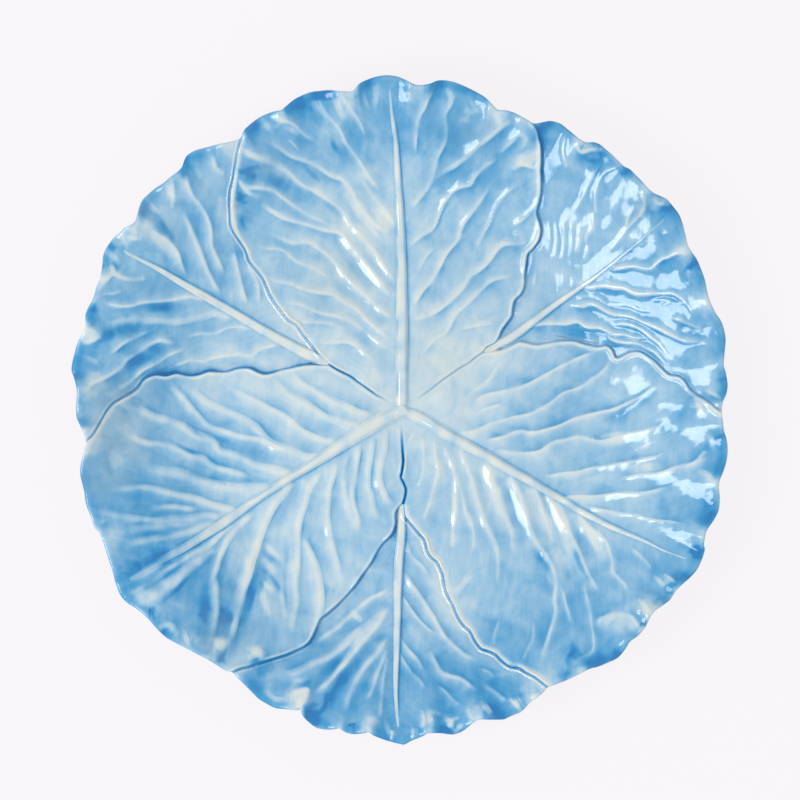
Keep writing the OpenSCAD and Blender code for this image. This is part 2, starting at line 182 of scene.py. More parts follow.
# %% Midribs on the drawing
MIDRIBS = {
    "top": "402,411,13 402,370,12.5 402,320,11.5 401.5,260,9.5 400,220,8.5 398,180,6.5 395.5,140,5 "
           "391.5,110,3.5 390,92,2 389,75,1.6",
    "upper_right": "485,351,7.5 489,350,8 500,343,8 510,338,8 520,331.5,8 530,324,7 540,316.5,6 "
                   "560,301.5,5 580,287.5,4 600,273.5,3.5 620,257.5,3 640,241,2.5 650,232,2 "
                   "660,223.5,1.6 667,218,1.4 680,216,1.2",
    "lower_right": "402,411,12 415,415,12 426,421,12 445,433,11 468,446,10 488,457,9.5 510,470,9 "
                   "530,481,8 550,493,7.5 568,503,7 580,511,6.5 600,521.5,6 620,531,5 640,539,4 "
                   "655,546,2.5 665,551,2 700,564,1.4",
    "bottom": "403,505,6 402,512,7 401,540,8 399,560,8 398,580,8 397.5,600,7 397.3,620,6.5 396.8,640,6 "
              "396.3,660,5 395.8,680,4.5 396,700,3.5 397.5,720,2.5 399.5,735,2 401,743,1.6",
    "lower_left": "402,411,15 380,421,15 360,433,14 340,446,12 320,459,10 300,471.5,8 280,484,7.5 "
                  "260,497,7 240,511,8.5 220,525,9.5 200,538,8 180,550,8 160,561,7 140,573,5 122,584,2.5 "
                  "116,586,1.6",
    "upper_left": "328,364,9 320,360,10 310,355,11 300,350.5,10 280,339.5,8.5 260,328.5,8 240,316.5,7.5 "
                  "220,305,7.3 200,293.5,7 180,282,6 160,270,4.8 140,259.5,3.2 128,253.5,2.4 120,247,1.6 "
                  "112,240,1.2",
}


def read_midrib(text):
    """A midrib's line and its width in millimetres at every place of it."""
    xy, widths = read_places(text)
    line = curve(xy)
    return line, np.interp(distances(line), distances(xy), widths[:, 0] * SQUARE)


midrib_lines = {k: read_midrib(v) for k, v in MIDRIBS.items()}
print("midrib lengths, mm:", {k: round(distances(line)[-1]) for k, (line, _) in midrib_lines.items()})

# %% [markdown]
# The modeller's strokes. Side veins stand up from the blade, and the hollows between them hold the
# glaze. Each stroke is a letter for its kind and then the places that it runs through, from the
# midrib out. A kind has a height and a reach to each side, in mm, then how much cream it wears (or,
# if that is below 0, how much blue it gathers), and how deep the glaze pools at the foot of its steep
# side. Wiped places have no height: they are mostly painted highlights where a fold mirrors the
# window, with the glaze wiped thin in part, and the pale of folds and of tilted hollows is partly a
# painted highlight too.

# %% Kinds of stroke
KINDS = {
    "s": (1.00, 1.5, 0.14, 0.36),               # strong side vein
    "p": (0.76, 1.3, 0.12, 0.27),               # plain side vein
    "f": (0.48, 0.90, 0.10, 0.18),              # faint side vein
    "b": (0.80, 2.4, 0.12, 0.22),               # broad soft side vein
    "t": (0.42, 0.80, 0.03, 0.10),              # small fold across a blade
    # the pale of w, c, e and h is partly a painted highlight, where a fold or tilted hollow mirrors the
    # window
    "w": (0.80, 1.5, 0.32, 0.30),               # fold that the glaze has run off
    "c": (0.0, 2.1, 0.40, 0.0),                 # wiped place
    "e": (0.0, 1.0, 0.40, 0.0),                 # narrow wiped place
    "d": (-0.12, 2.3, -0.32, 0.0),              # hollow with a deep pool
    "n": (-0.06, 0.85, -0.34, 0.0),             # narrow hollow with a deep pool
    "h": (-0.54, 2.5, 0.12, 0.0),               # hollow that tilts the side of a vein to the window
}
SIDE_VEINS, CRISP, HIGHLIGHTS_AND_WIPES, HOLLOWS = "spfb", "spf", "ce", "dhn"
ROOTS = 2.2                                     # side veins begin this far inside the midrib's foot
VEINS = {"top": 0.64, "lower_left": 0.72, "lower_right": 0.68, "upper_right": 0.78, "bottom": 0.78,
         "upper_left": 0.69}                    # how boldly each leaf is veined
CRESTS = {"top": 0.5, "upper_left": 0.5, "upper_right": 0.45, "lower_left": 0.85, "bottom": 0.65,
          "lower_right": 0.45}                  # how broad its veins' crests are, against their reach


def read_strokes(text):
    """The kind and the line of every stroke that is written in the text."""
    out = []
    for kind, way in re.findall("([a-z])([^a-z]+)", text):
        line = curve(places(way), 1.5)
        if kind in SIDE_VEINS:
            back = line[0] - line[1]
            line = np.vstack([line[0] + back / np.linalg.norm(back) * ROOTS, line])
        out.append((kind, line))
    print("strokes:", len(out), "together, mm:", round(sum(distances(line)[-1] for _, line in out)))
    return out


strokes = {}

# %% Strokes on the top leaf
strokes["top"] = read_strokes("""
    p 364,134 361,126 352,110 344,100 338,91
    p 376,186 371,180 360,162 350,147 344,139 338,127 328,116 321,104 318,92
    p 394,224 386,211 378,199 369,189 361,177
    s 385,230 373,222 365,212 357,202 352,193 347,184 342,178 330,174 318,167 305,160 290,155 275,146
      262,138
    f 298,149 292,143 287,140
    p 313,139 306,136 300,131 296,126 290,122 280,120 270,119
    s 393,278 382,262 372,248 360,233 352,224 342,210 330,200 318,193 305,185 292,175 280,166 268,160
    b 330,200 318,193 305,185 292,176 280,167 266,160 252,156 240,154
    p 326,223 312,215 296,207 285,199 272,190 260,187 246,188 236,184
    s 388,293 378,280 365,262 358,252 350,243 340,232 322,229 310,225 295,220 280,217 270,210 262,203
    s 388,315 380,307 372,300 365,295 352,282 345,275 338,265 330,257 322,250 312,243 303,241 292,242
      283,239 275,235 268,230
    f 328,276 318,270 308,265 295,260 285,252 275,248 255,246
    s 385,335 370,322 358,310 345,301 335,294 320,292 300,287 285,281 265,279
    p 385,347 365,332 350,320 330,315 315,310 300,304 283,302
    f 342,328 332,324 320,322 300,322
    p 375,362 362,350 350,343 335,342 315,341
    p 416,150 417,125 420,115 425,108 429,98 436,83
    p 415,205 425,190 433,175 437,158 443,145 446,130 445,115 450,105 457,90
    h 427,236 436,224 442,208 450,194
    w 436,175 446,169 456,165 466,157 474,148 484,141 496,132 508,122
    s 414,241 424,233 433,226 439,214 444,202 452,192 460,187 470,184 475,176 484,167 492,161 500,152
    w 502,150 512,141 520,134 527,140 523,147
    f 420,268 423,262 428,254 434,248
    s 415,303 424,288 434,277 441,264 447,252 457,239 463,226 469,216 478,203 486,191 494,180
    s 418,317 425,317 435,312 445,305 452,298 458,292 465,285 470,277 478,271 485,265 492,256 497,248
      503,243 512,243 520,243 530,240 540,236
    f 478,245 484,235 490,222 497,205 505,195 513,187 522,181
    p 425,350 430,343 437,337 447,331 452,323 456,315 460,309 467,303 475,296 482,288 490,281 500,277
      510,275 518,274
    f 465,328 480,325 495,322
    f 513,226 522,219 530,212 536,205 538,195 539,185
    w 515,168 522,163 530,165 538,167
    w 237,150 235,175 233,200 234,222 240,238 247,252
    w 539,145 540,165 539,185 538,200
    w 539,222 539,235 533,248 527,262 525,280
    w 236,178 246,190 256,196
    d 250,168 252,176 250,184
    d 246,204 249,214 247,226
    c 352,197 360,208 367,220
    c 340,214 349,226 357,238
    c 376,200 382,212 389,224
    e 318,103 322,112 327,121
    e 336,102 341,110 345,117
    e 363,92 366,101 369,108
    e 376,89 377,98 375,106
    e 263,120 268,126 273,132
    e 241,150 250,154 260,158 269,157
    c 262,157 274,165 287,174
    e 241,183 249,187 258,187 268,190
    e 312,96 315,105 319,114
    e 262,205 272,212 284,217
    e 287,127 292,130 297,134
    n 240,193 243,201 247,210
    n 305,166 311,173 318,180
    n 332,135 334,145 340,152
    n 241,215 242,222 246,229
    n 262,168 268,166 275,164
    e 366,220 372,229 378,236
    c 518,166 527,160 537,155
    e 448,90 452,98 450,106
    e 470,98 474,106 478,112
    e 492,112 497,118 500,126
    h 380,300 369,284 357,267 347,254 338,243
    h 380,320 366,307 350,294 338,281 330,271
    h 352,228 344,217 334,206 322,198
    h 382,350 366,339 350,328
    d 300,104 312,97 330,95 346,97
    d 262,176 275,182 285,187""")

# %% Strokes on the lower left leaf
strokes["lower_left"] = read_strokes("""
    p 370,415 360,413 345,407 330,400 315,392 300,383 290,372
    p 356,425 340,421 325,416 312,408 300,401 288,393 277,384 270,375
    p 335,442 322,441 312,437 303,431 294,424 284,417 270,409 256,402 243,395 228,388
    p 318,457 306,457 294,452 283,447 273,444 264,438 256,428 243,420 230,414 216,408 205,402 192,392
      185,385
    p 285,450 272,446 262,441 247,437 232,434 218,430 206,425 198,417 190,407 182,397 174,388 168,379
    s 290,472 280,472 270,470 262,468 252,464 240,460 228,454 218,451 212,443 203,438 190,432 175,424
      165,420 152,417 140,410 125,403
    p 245,476 225,471 213,467 206,462 200,458 190,457 180,451 168,446 156,443 143,442 130,438
    b 270,488 250,489 232,488 215,486 202,482 190,478 178,474 165,472 150,469 138,466
    p 235,512 215,506 200,501 182,497 165,493 145,488 125,488 105,490
    p 195,510 180,508 165,507 148,507
    p 218,517 190,518 160,520 130,518 110,514 95,508
    b 200,521 180,524 160,526 140,529 118,532
    s 216,524 205,526 190,531 175,535 160,539 140,542 122,547
    f 232,527 215,538 198,550 183,561 165,570 150,577
    p 386,432 384,450 380,465 379,480 382,492 390,503 395,507
    p 372,440 370,455 368,470 367,487 370,497 374,510 378,525
    p 358,448 355,470 352,488 353,503 357,520 358,535
    f 347,456 344,470 345,490 350,515 353,530
    p 336,465 333,480 328,495 327,510 329,530 333,550 338,570 340,588
    p 303,541 309,552 315,567 319,582 320,598 318,614 314,630 309,643
    p 318,476 309,488 304,503 300,518 298,535 297,555 296,575 296,595 294,615 290,640
    s 292,484 282,495 273,507 265,521 260,535 255,552 250,568 245,585 240,602 236,618 231,634 225,648
      218,660
    c 256,546 250,566 244,586 239,606
    p 250,516 240,526 228,540 220,555 216,568 213,578 217,590 217,605 215,620 213,638 213,652
    b 212,546 200,558 186,571 170,586 154,597 142,603
    p 226,530 214,541 203,549 190,557 180,564
    d 196,542 182,548 167,557 152,563 136,571 122,580
    d 194,558 180,568 165,577 148,584 130,585
    e 265,546 272,552 280,558
    e 265,562 272,569 280,577
    e 262,580 266,586 273,590
    e 262,590 265,602 268,614
    e 281,592 283,604 286,616
    n 264,554 271,559 277,564 282,570
    n 264,571 270,576 275,583 280,590 285,597
    n 287,550 286,565 286,580 285,595 287,606
    n 258,566 255,577 251,588 247,600 243,609
    n 303,526 301,534 301,542
    d 263,570 259,586 255,602
    n 256,588 252,600 248,611
    e 185,549 165,561 145,572 120,586
    e 186,558 165,573 134,592
    c 196,563 180,576 164,588 148,600
    c 172,578 156,591 142,599
    n 210,556 200,567 188,578 174,592 160,605
    n 148,610 152,613 155,618
    c 224,641 221,648 217,657
    n 230,640 226,650 220,661
    e 184,632 188,640 192,648
    e 142,381 130,394 116,403 108,416 95,436 85,456
    e 150,444 138,440 128,434 120,428
    n 118,407 124,411 130,416
    n 188,427 199,435 210,442
    n 170,440 185,449 200,455
    n 206,432 216,438 228,441
    n 192,471 206,477 224,483
    e 172,388 180,398 188,408
    d 207,588 206,605 204,630
    d 222,598 227,612 227,632
    d 252,582 248,600 243,618
    w 212,640 220,642 228,640
    w 252,657 257,652 262,654
    w 155,628 163,626 170,625 177,634
    d 148,611 152,611
    d 160,630 168,634
    d 248,665 262,664""")

# %% Strokes on the lower right leaf
strokes["lower_right"] = read_strokes("""
    f 465,399 475,390 485,383 495,372 504,357
    p 478,400 490,394 504,391 518,388 532,384 545,376 560,367 578,359 592,353 603,349
    f 480,412 489,408 503,402
    p 462,433 472,432 484,428 497,423 515,418 531,414 541,409 552,403 565,394 580,387 592,379 602,372
      610,365 613,356 613,348
    s 491,440 505,437 520,432 535,432 550,429 568,422 585,417 602,413 618,407 632,401 643,395 652,389
      659,383
    p 500,451 516,453 527,454 540,452 551,446 563,440 577,437 590,439 604,441 618,438 630,434 645,431
      658,427 668,421
    p 550,476 565,474 580,472 592,469 605,467 620,464 640,460 658,456 670,450
    p 625,478 641,476 655,474 668,470 682,466 695,462 706,458 712,453
    p 563,498 580,497 598,497 615,494 635,493 650,492 662,489 673,485
    f 590,507 604,511 618,513 632,515 648,519 668,521 688,525
    f 412,432 408,445 406,458 405,472
    f 422,440 424,453 423.6,466 422,478 417,490
    p 434,443 436,456 438,468 435,484 432,497 426,512 424,525
    p 445,449 452,463 456,477 457,490 456,509 455,533 451,551
    f 455,470 460,487 464,502 466,515 470,526 474,538
    p 462,453 468,468 474,484 477,497 481,509 486,521 490,531 495,542 499,556 500,572
    b 489,464 493,481 499,494 504,509 509,522 513,534 514,546 516,561
    s 512,478 518,490 524,505 528,518 532,531 538,545 547,557 554,569 557,582 556,598 557,610 553,624
      548,640 543,655 539,670
    p 534,486 540,500 545,515 550,530 555,545
    s 548,495 556,506 562,517 570,532 577,546 583,560 588,573 592,581 597,589 600,596
    f 584,585 586,600 590,612 592,625 594,640 592,652 583,657 573,662
    f 560,585 565,598 569,610 571,626
    p 580,516 590,527 600,534 607,543 611,553 614,562 614,571 620,579 627,587 632,597
    f 632,548 641,555 649,564 653,571
    f 534,625 533,640 528,650 522,662
    f 500,622 495,635 493,648
    w 600,620 615,614 632,618 640,630
    w 680,470 695,462 705,452
    w 640,600 646,606 650,612
    w 697,400 700,408 697,414
    w 665,575 675,582
    e 678,539 686,541 692,545
    e 655,577 661,583 664,588
    e 638,622 643,628 646,634
    e 606,622 614,616 622,615
    e 700,470 708,474 713,480
    e 706,432 712,440 714,448
    e 604,664 612,661 618,657
    e 576,670 584,668
    f 478,508 490,536 498,560 499,590
    f 463,504 471,522 474,540 472,556
    e 454,484 455,505 454,526 452,544
    e 471,573 463,584 455,595
    c 562,522 569,540 574,556 577,572
    c 556,504 563,520 568,534
    c 578,516 586,530 592,545 597,560
    c 590,530 596,542 601,555
    n 571,540 577,554 583,568 588,577
    n 536,551 542,560 550,569
    e 548,572 552,580 555,588
    f 564,592 568,606 573,626
    f 583,588 588,600 593,614
    h 476,462 482,480 488,498 494,515
    h 500,480 508,500 515,518 522,536
    h 542,506 550,522 558,538 566,556 574,574
    h 566,556 572,570 578,582
    h 574,524 583,540 591,554 598,566
    c 484,468 490,480 496,493 501,507
    c 513,484 519,498 524,513
    c 531,492 538,506 546,522 553,538
    c 550,498 560,510 566,524
    c 556,552 564,564 572,578
    c 580,520 590,530 598,543 603,556
    c 606,438 622,436 638,436
    c 628,470 642,468 656,466
    d 604,417 620,413 636,405 652,392
    d 628,437 643,436
    d 536,549 545,565
    d 571,538 579,560 586,578
    d 690,545 697,552 694,560
    d 664,590 672,594
    d 640,622 645,626
    d 612,650 620,653
    d 568,650 576,655
    d 708,500 714,508
    d 720,432 723,442""")

# %% Strokes on the upper left leaf
strokes["upper_left"] = read_strokes("""
    p 184,272 180,262 177,253 170,244 160,236 149,228
    s 217,290 210,276 203,262 199,250 195,238 190,228 184,216 180,208
    s 222,270 215,255 211,245 210,232 207,218 200,205 192,195 187,182 188,170
    p 245,300 240,285 237,272 234,258 231,250
    f 258,300 258,285 252,272 246,262
    w 171,180 173,192 172,205
    w 212,155 216,168 222,172
    w 126,235 132,238 140,239
    c 152,227 160,237 168,247 176,259
    n 157,215 164,226 172,238
    e 106,250 112,256 118,262
    e 118,232 123,238 126,246
    e 148,202 153,208 158,212
    e 168,186 172,194 176,200
    e 190,160 196,168 200,176
    e 82,318 88,326 92,334
    e 80,356 88,358 96,362
    d 157,217 163,228 171,238
    s 205,300 190,297 170,300 150,301 140,302 132,305 122,306 112,305 100,302
    b 230,318 215,313 205,315 190,318 170,321 150,320 130,320 110,325 100,328
    f 250,328 245,327 235,326 225,328 215,332 200,334 185,337
    p 148,331 140,334 130,339 122,344 115,350 110,354
    s 172,343 160,341 150,344 142,349 135,354 125,360 120,368 110,375 98,381 90,386 84,394
    p 180,350 172,353 165,356 158,361 150,366 142,370 136,376 130,382 120,388 110,392
    f 205,361 190,360 180,364 172,366.5
    p 275,344 265,347 257,350 252,355 240,354 225,356 212,358 200,361
    w 110,262 113,272 120,276 130,279 143,279
    w 101,285 108,278 113,272
    w 80,343 90,341 99,337
    f 105,294 113,293 122,290
    d 135,309 150,307 170,306 183,306
    d 100,336 110,334 118,332
    d 122,329 132,327 140,326
    d 124,371 134,363 146,355 158,350 174,348
    d 89,308 95,316
    d 233,240 240,250 246,258
    d 130,389 150,381 175,378 205,377 235,375 250,374""")

# %% Strokes on the upper right leaf
strokes["upper_right"] = read_strokes("""
    w 578,148 582,152 590,150 600,150
    f 615,167 605,172 600,178 597,185 595,195 596,210 593,216
    f 600,165 592,178 585,192 580,205 574,213
    f 635,207 628,218 625,232 615,246 610,253
    f 594,215 592,230 587,236 586,245
    f 640,215 630,225 620,240
    f 565,137 563,150 565,160 569,169
    f 536,273 534,285
    t 549,215 550,235 549,255
    t 556,217 557,238 556,260
    t 563,216 565,238 564,262
    t 571,218 573,240 571,260
    t 579,220 580,240 577,256
    t 588,238 588,250 584,262
    w 642,195 645,205 640,215
    w 650,199 660,203 668,204
    s 614,270 620,268 628,266 635,266 643,268 651,268 656,264 662,259 668,257 674,254 680,253 690,257
    s 588,289 596,287 605,286 615,288 625,288 632,292 638,294 645,294.5 655,293 665,293 673,293 679,296
      684,300 689,306 692,311
    s 576,306 585,306 593,304 600,306 608,311 616,315 625,316 633,317 640,320 648,324 656,328 664,332
      672,336 680,339 690,341 700,341.5 712,342
    f 580,298 590,296 600,298 608,303 620,305 632,306 640,310 650,312 658,316
    s 535,325 548,323 558,323 567,324 574,322 580,321 586,325 593,327 600,328 608,331 615,333 625,334
      632,337 638,338 645,337 650,340 655,343
    p 615,324 625,324 635,326 643,330 650,336 657,342 663,349 668,355 676,358
    p 607,334 613,338 620,341 630,343 640,343.5 648,347 655,351 660,356 666,362
    p 673,318 680,320 688,324 695,327 703,329
    f 683,332 690,331 698,331 704,330
    f 655,300 665,299 670,302 660,305
    f 678,303 686,303 690,308 692,314
    w 705,390 712,393 720,397
    d 585,157 600,159
    d 655,208 668,208
    d 620,171 632,170
    d 688,264 700,266
    d 560,332 590,336 620,345
    d 724,376 725,384""")

# %% Strokes on the bottom leaf
strokes["bottom"] = read_strokes("""
    p 384,593 371,600 363,606 353,615 345,621 336,630 325,638 312,645
    b 387,611 378,619 366,628 352,638 340,650 325,659 310,667 292,674 275,679
    s 387,611 380,622 371,633 361,645 350,658 340,669 330,681 320,690 311,697
    s 386,642 378,652 369,662 360,674 353,687 348,700 346,714
    p 385,652 380,668 375,682 370,694 366,703
    d 348,652 338,662 328,672 316,682
    d 370,648 358,662 346,676 336,690 329,702 320,712
    f 387,650 385,670 382,690 381,710 379,722
    w 290,695 298,692 307,690 303,700 300,707
    n 327,695 326,704 320,712 310,715
    n 296,688 303,684 311,682
    n 344,676 336,688 330,700
    e 376,624 360,640 344,662 324,686
    e 348,644 332,656 312,665
    w 390,733 394,733
    w 410,732 416,732
    p 407,578 412,585 417,592 425,605 433,617 440,630 447,640 455,648 465,655 480,661
    f 406,545 409,553 413,560 421,568 429,578
    f 403,597 410,610 418,620 428,630 436,637
    f 401,641 408,650 417,661 423,674
    f 401,656 406,665 412,675 420,682 426,690
    p 431,655 436,664 441,672 450,677 460,680 470,686 477,692
    f 438,687 446,693 452,699 460,706
    f 481,671 490,673 496,679
    p 486,686 495,693 507,703
    f 487,705 493,713
    f 422,712 424,722 420,730
    w 513,700 517,705 520,710
    w 530,697 538,696
    w 450,716 452,728
    w 463,722 457,730
    e 516,694 520,702 524,708
    e 446,716 450,722 452,730
    e 430,716 433,722
    e 482,702 488,708 494,716
    e 352,612 356,617 360,620
    e 268,692 274,698 284,700
    e 386,722 389,730 391,737
    d 308,716 322,716
    d 352,727 356,727
    d 402,625 405,634 406,641
    d 438,731 448,731
    d 519,691 520,702""")

# %% [markdown]
# The glaze is not even: the potter poured it and wiped it, so it is thin and pale round the heart and
# along some midribs, and stands deep in broad patches towards the rim. Each wash is a place, a radius
# and how much thicker the glaze is there. A few pale washes are painted highlights, where the glaze
# mirrors the window. Age has greyed it in a few places, listed the same way.

# %% Washes of glaze
WASHES = {
    # painted highlights: the pale washes at 590,225, 636,388 and 600,512 here, 659,446 towards the rim, and
    # 258,652 on the lower left rim
    "blades": """
        365,215 50 -.17   400,170 34 -.08   450,362 58 -.17   330,300 60 -.06   405,410 50 -.06
        290,385 50 -.12   225,380 36 -.12   325,590 34 -.16   235,512 42 -.12   258,560 26 -.10
        465,470 46 -.10   600,512 42 -.12   448,602 27 -.17   400,640 18 -.05   636,388 26 -.10
        120,262 28 -.06   530,150 26 -.05   590,225 34 -.08   560,620 66 .07   622,560 42 .03
        700,520 24 .12   715,430 14 .10   190,592 56 .14   140,522 46 .12   215,475 30 .08
        240,446 26 .06   150,370 32 .10   270,172 40 .10   315,106 24 .12   440,116 42 .10
        480,172 36 .06   388,120 28 .08   560,330 28 .06   560,392 46 .10   682,262 28 .10
        662,215 18 .06   510,642 36 .10   370,682 46 .12   482,692 38 .10   300,672 32 .08
        440,500 26 .05   386,482 22 .06   500,560 40 .05   350,640 26 .05   96,470 20 .06
        545,120 24 .06   440,160 26 .05   470,120 34 .06   160,230 44 -.04   210,180 34 -.05
        100,440 40 .03   110,480 40 .03   250,440 40 .05   275,626 55 -.05   525,630 50 -.03
        325,280 40 .02   400,690 50 .02   400,560 40 .09   318,505 46 -.05""",
    "towards the rim": """
        442,110 24 -.09   350,113 24 -.09   288,132 20 -.03   642,228 18 -.14   519,132 16 .16
        218,640 22 .14   364,668 24 -.12   440,708 18 .14   490,697 20 .14   432,668 22 .09
        641,512 26 -.12   659,446 26 -.12   606,571 22 -.07   118,524 18 -.1   368,150 20 .10
        194,249 22 -.06   95,400 18 .06   380,540 30 .05   110,540 30 .04   190,650 30 .04""",
    "lower left rim": """
        148,600 15 -.24   186,636 13 -.14   219,645 7 -.26   206,655 5 -.18   258,652 7 -.24
        151,612 5 .25   220,659 5 .3   262,668 8 .22   205,616 7 .2   226,618 7 .2   160,556 9 .2
        135,571 9 .15""",
    "bottom rim": """
        297,694 10 -.28   299,704 5 -.3   353,728 4 .3   313,714 8 .2   372,724 7 -.2   444,731 7 .25
        330,668 12 .06   316,702 8 -.1   180,612 15 -.14""",
    "left rim": """
        114,458 7 -.22   128,434 8 -.1   139,402 4 .2   105,472 5 .12   111,444 4 .12   97,522 9 -.18
        188,167 6 -.16   150,216 8 -.1   118,398 9 -.16""",
    "bottom rim, right half": """
        530,694 8 -.2   430,716 7 -.2   477,713 7 -.2   452,722 4 -.3   515,704 4 -.3""",
    "lower right rim": """
        622,622 16 -.28   655,605 8 -.25   643,624 5 .3   671,591 6 .28   616,655 7 .25   698,553 7 .25
        576,652 6 .2   571,668 8 .18   592,650 7 -.15   646,608 4 -.3""",
    "upper right rim": """
        590,151 9 -.28   660,202 9 -.28   686,255 8 -.22   655,213 11 .15   692,265 5 .3
        600,162 11 .12   628,173 6 .2""",
    "upper left rim": """
        106,272 10 -.28   89,336 10 -.26   92,384 13 -.24   154,354 10 .1   130,368 7 .12
        128,328 9 .16   108,334 8 .16   165,305 10 .06   78,410 9 -.16   118,236 8 -.2   88,308 6 .2
        110,246 7 .2   130,237 7 -.15   249,171 6 .3   241,196 4 .2   329,592 5 .12   300,99 7 .18
        327,94 6 .15   280,122 6 -.16   410,93 6 -.28   468,112 6 -.2""",
}
GREYS = """
    115,430 32 .75   128,392 20 .4   100,478 24 .5   215,642 24 .5   272,165 28 .3   325,290 44 .35
    474,134 26 .35   146,214 28 .35   88,392 18 .4   436,362 44 .25   655,612 20 .4   640,205 16 .3"""
CRISP_WASH = 13                                 # a wash of up to this radius has a crisper border


def read_washes(text):
    """Washes as x, y and radius in mm, how much glaze they add, and how crisp they are."""
    out = []
    for place, radius, amount in re.findall(r"(\S+) (\S+) (\S+)", text):
        x, y = places(place)[0]
        crisp = 1 if float(radius) > CRISP_WASH else 2
        out.append((x, y, float(radius) * SQUARE, float(amount), crisp))
    return out


def washes(listed, x, y):
    """What the listed washes add at every point."""
    total = np.zeros(x.shape)
    for at_x, at_y, radius, amount, crisp in listed:
        near = ((x - at_x) ** 2 + (y - at_y) ** 2) / radius ** 2
        total += amount * np.exp(-near ** crisp)
    return total


blue_washes = [wash for text in WASHES.values() for wash in read_washes(text)]
grey_washes = read_washes(GREYS)
print("washes:", len(blue_washes), "blue or thin,", len(grey_washes), "grey")

# %% [markdown]
# Heights are worked out, not sculpted by hand: a point's height depends on how far it lies from the
# lines above. One helper measures that distance, the way to the point, and how far along the line its
# nearest place is. The others turn a distance into a soft rise or a soft ridge.

# %% How far a point is from a line
FAR_OFF = 1e6


def beside(line, x, y, reach):
    """Distance to the line, the way x and y from its nearest place, and how far along that place is."""
    far = np.full(x.shape, FAR_OFF)
    way_x, way_y, at = np.zeros(x.shape), np.zeros(x.shape), np.zeros(x.shape)
    for (ax, ay), (bx, by), start in zip(line, line[1:], distances(line)):
        k = np.flatnonzero((x > min(ax, bx) - reach) & (x < max(ax, bx) + reach)
                           & (y > min(ay, by) - reach) & (y < max(ay, by) + reach))
        dx, dy = bx - ax, by - ay
        px, py = x[k] - ax, y[k] - ay
        t = np.clip((px * dx + py * dy) / (dx * dx + dy * dy), 0, 1)
        px, py = px - t * dx, py - t * dy
        d = np.hypot(px, py)
        near = d < far[k]
        k = k[near]
        far[k], way_x[k], way_y[k] = d[near], px[near], py[near]
        at[k] = start + t[near] * math.hypot(dx, dy)
    return far, way_x, way_y, at


def ease(t):
    """A soft rise from 0 to 1 as t goes from 0 to 1."""
    t = np.clip(t, 0, 1)
    return t * t * (3 - 2 * t)


def bell(d, width, power=2):
    """A soft ridge: 1 where d is 0, falling off over the width, and flatter on top with more power."""
    return np.exp(-(d / width) ** power)


print("half-way, a rise and a ridge are:", ease(0.5), "and", round(float(bell(0.5, 1)), 2))

# %% [markdown]
# The dish under the leaves is a flat well that rises to the rim, with the same heights as the solid
# model. The rim also ruffles: where its outline is drawn in to a notch the clay stands up, and where
# it swells to a lobe the clay dips like the bowl of a spoon.

# %% The dish
WELL_Z, WELL_R, RISE = 8.2, 70, 19
FLAT_Z, FLAT_R, BACK_RISE = 3.6, 77.6, 20.6
EDGE_R = 0.95                                   # the edge of the plate is rounded over and under


def side_curve(t):
    """How the side of the dish rises from 0 at the well to 1 at the rim."""
    return 0.45 * t * t + 0.55 * t * t * (3 - 2 * t)


def dish(r):
    """Height of the dish's face, so far from the middle."""
    return WELL_Z + RISE * side_curve(np.maximum(0, (r - WELL_R) / (PLATE_R - WELL_R)))


def underside(r):
    """Height of the dish's underside, so far from the middle."""
    return FLAT_Z + BACK_RISE * side_curve(np.maximum(0, (r - FLAT_R) / (PLATE_R - FLAT_R)))


def edge_drop(edge):
    """How far the rounded edge has fallen away at this distance from the rim line."""
    return EDGE_R - np.sqrt(np.maximum(0, EDGE_R ** 2 - np.clip(EDGE_R - edge, 0, None) ** 2))


print("dish, mm high at the rim:", round(float(dish(PLATE_R)), 1))

# %% Ruffle of the rim
RIM_STEPS = 1440
RUFFLE = 1.3                                    # height of a notch over the dish
LOBE = 0.9                                      # a lobe this far out of the round counts as a full one
FINE, BROAD = 0.8, 4.5                          # degrees: a lobe is what a broad average leaves out
DIES_AWAY = 9                                   # the ruffle grows with this power of the radius

rim_all = np.vstack([rim_lines[k] for k in ("top", "upper_right", "lower_right", "bottom", "lower_left",
                                            "upper_left")])
turn = np.linspace(-math.pi, math.pi, RIM_STEPS + 1)[:-1]
rim_turn = np.arctan2(rim_all[:, 1], rim_all[:, 0])
order = np.argsort(rim_turn)
rim_r = np.interp(turn, rim_turn[order], np.hypot(*rim_all.T)[order], period=2 * math.pi)


def blur_round(values, degrees):
    """Values round the rim, averaged over about so many degrees."""
    waves = np.fft.rfftfreq(len(values), 1 / len(values))
    return np.fft.irfft(np.fft.rfft(values) * np.exp(-0.5 * (waves * math.radians(degrees)) ** 2),
                        len(values))


def round_rim(values, x, y):
    """Values that go round the rim, at the turn of each point."""
    return np.interp(np.arctan2(y, x), turn, values, period=2 * math.pi)


lobes = np.clip((blur_round(rim_r, FINE) - blur_round(rim_r, BROAD)) / LOBE, -1, 1)
slopes = np.gradient(blur_round(lobes, 0.7)) * 14          # which way the rim swells, about 1 at most
print("rim radius, mm:", round(float(rim_r.min()), 1), "to", round(float(rim_r.max()), 1))


def ruffle(x, y):
    """How far the rim's notches stand up and its lobes dip, which dies away quickly inwards."""
    return -RUFFLE * round_rim(lobes, x, y) * (np.hypot(x, y) / PLATE_R) ** DIES_AWAY


# %% [markdown]
# Nothing on a plate made by hand is quite even, so many of the numbers below wander a little from
# place to place. A few waves of random direction and length, added up, do that. Each use has a seed
# of its own, so that the plate comes out the same every time.

# %% Unevenness
WAVES = 14


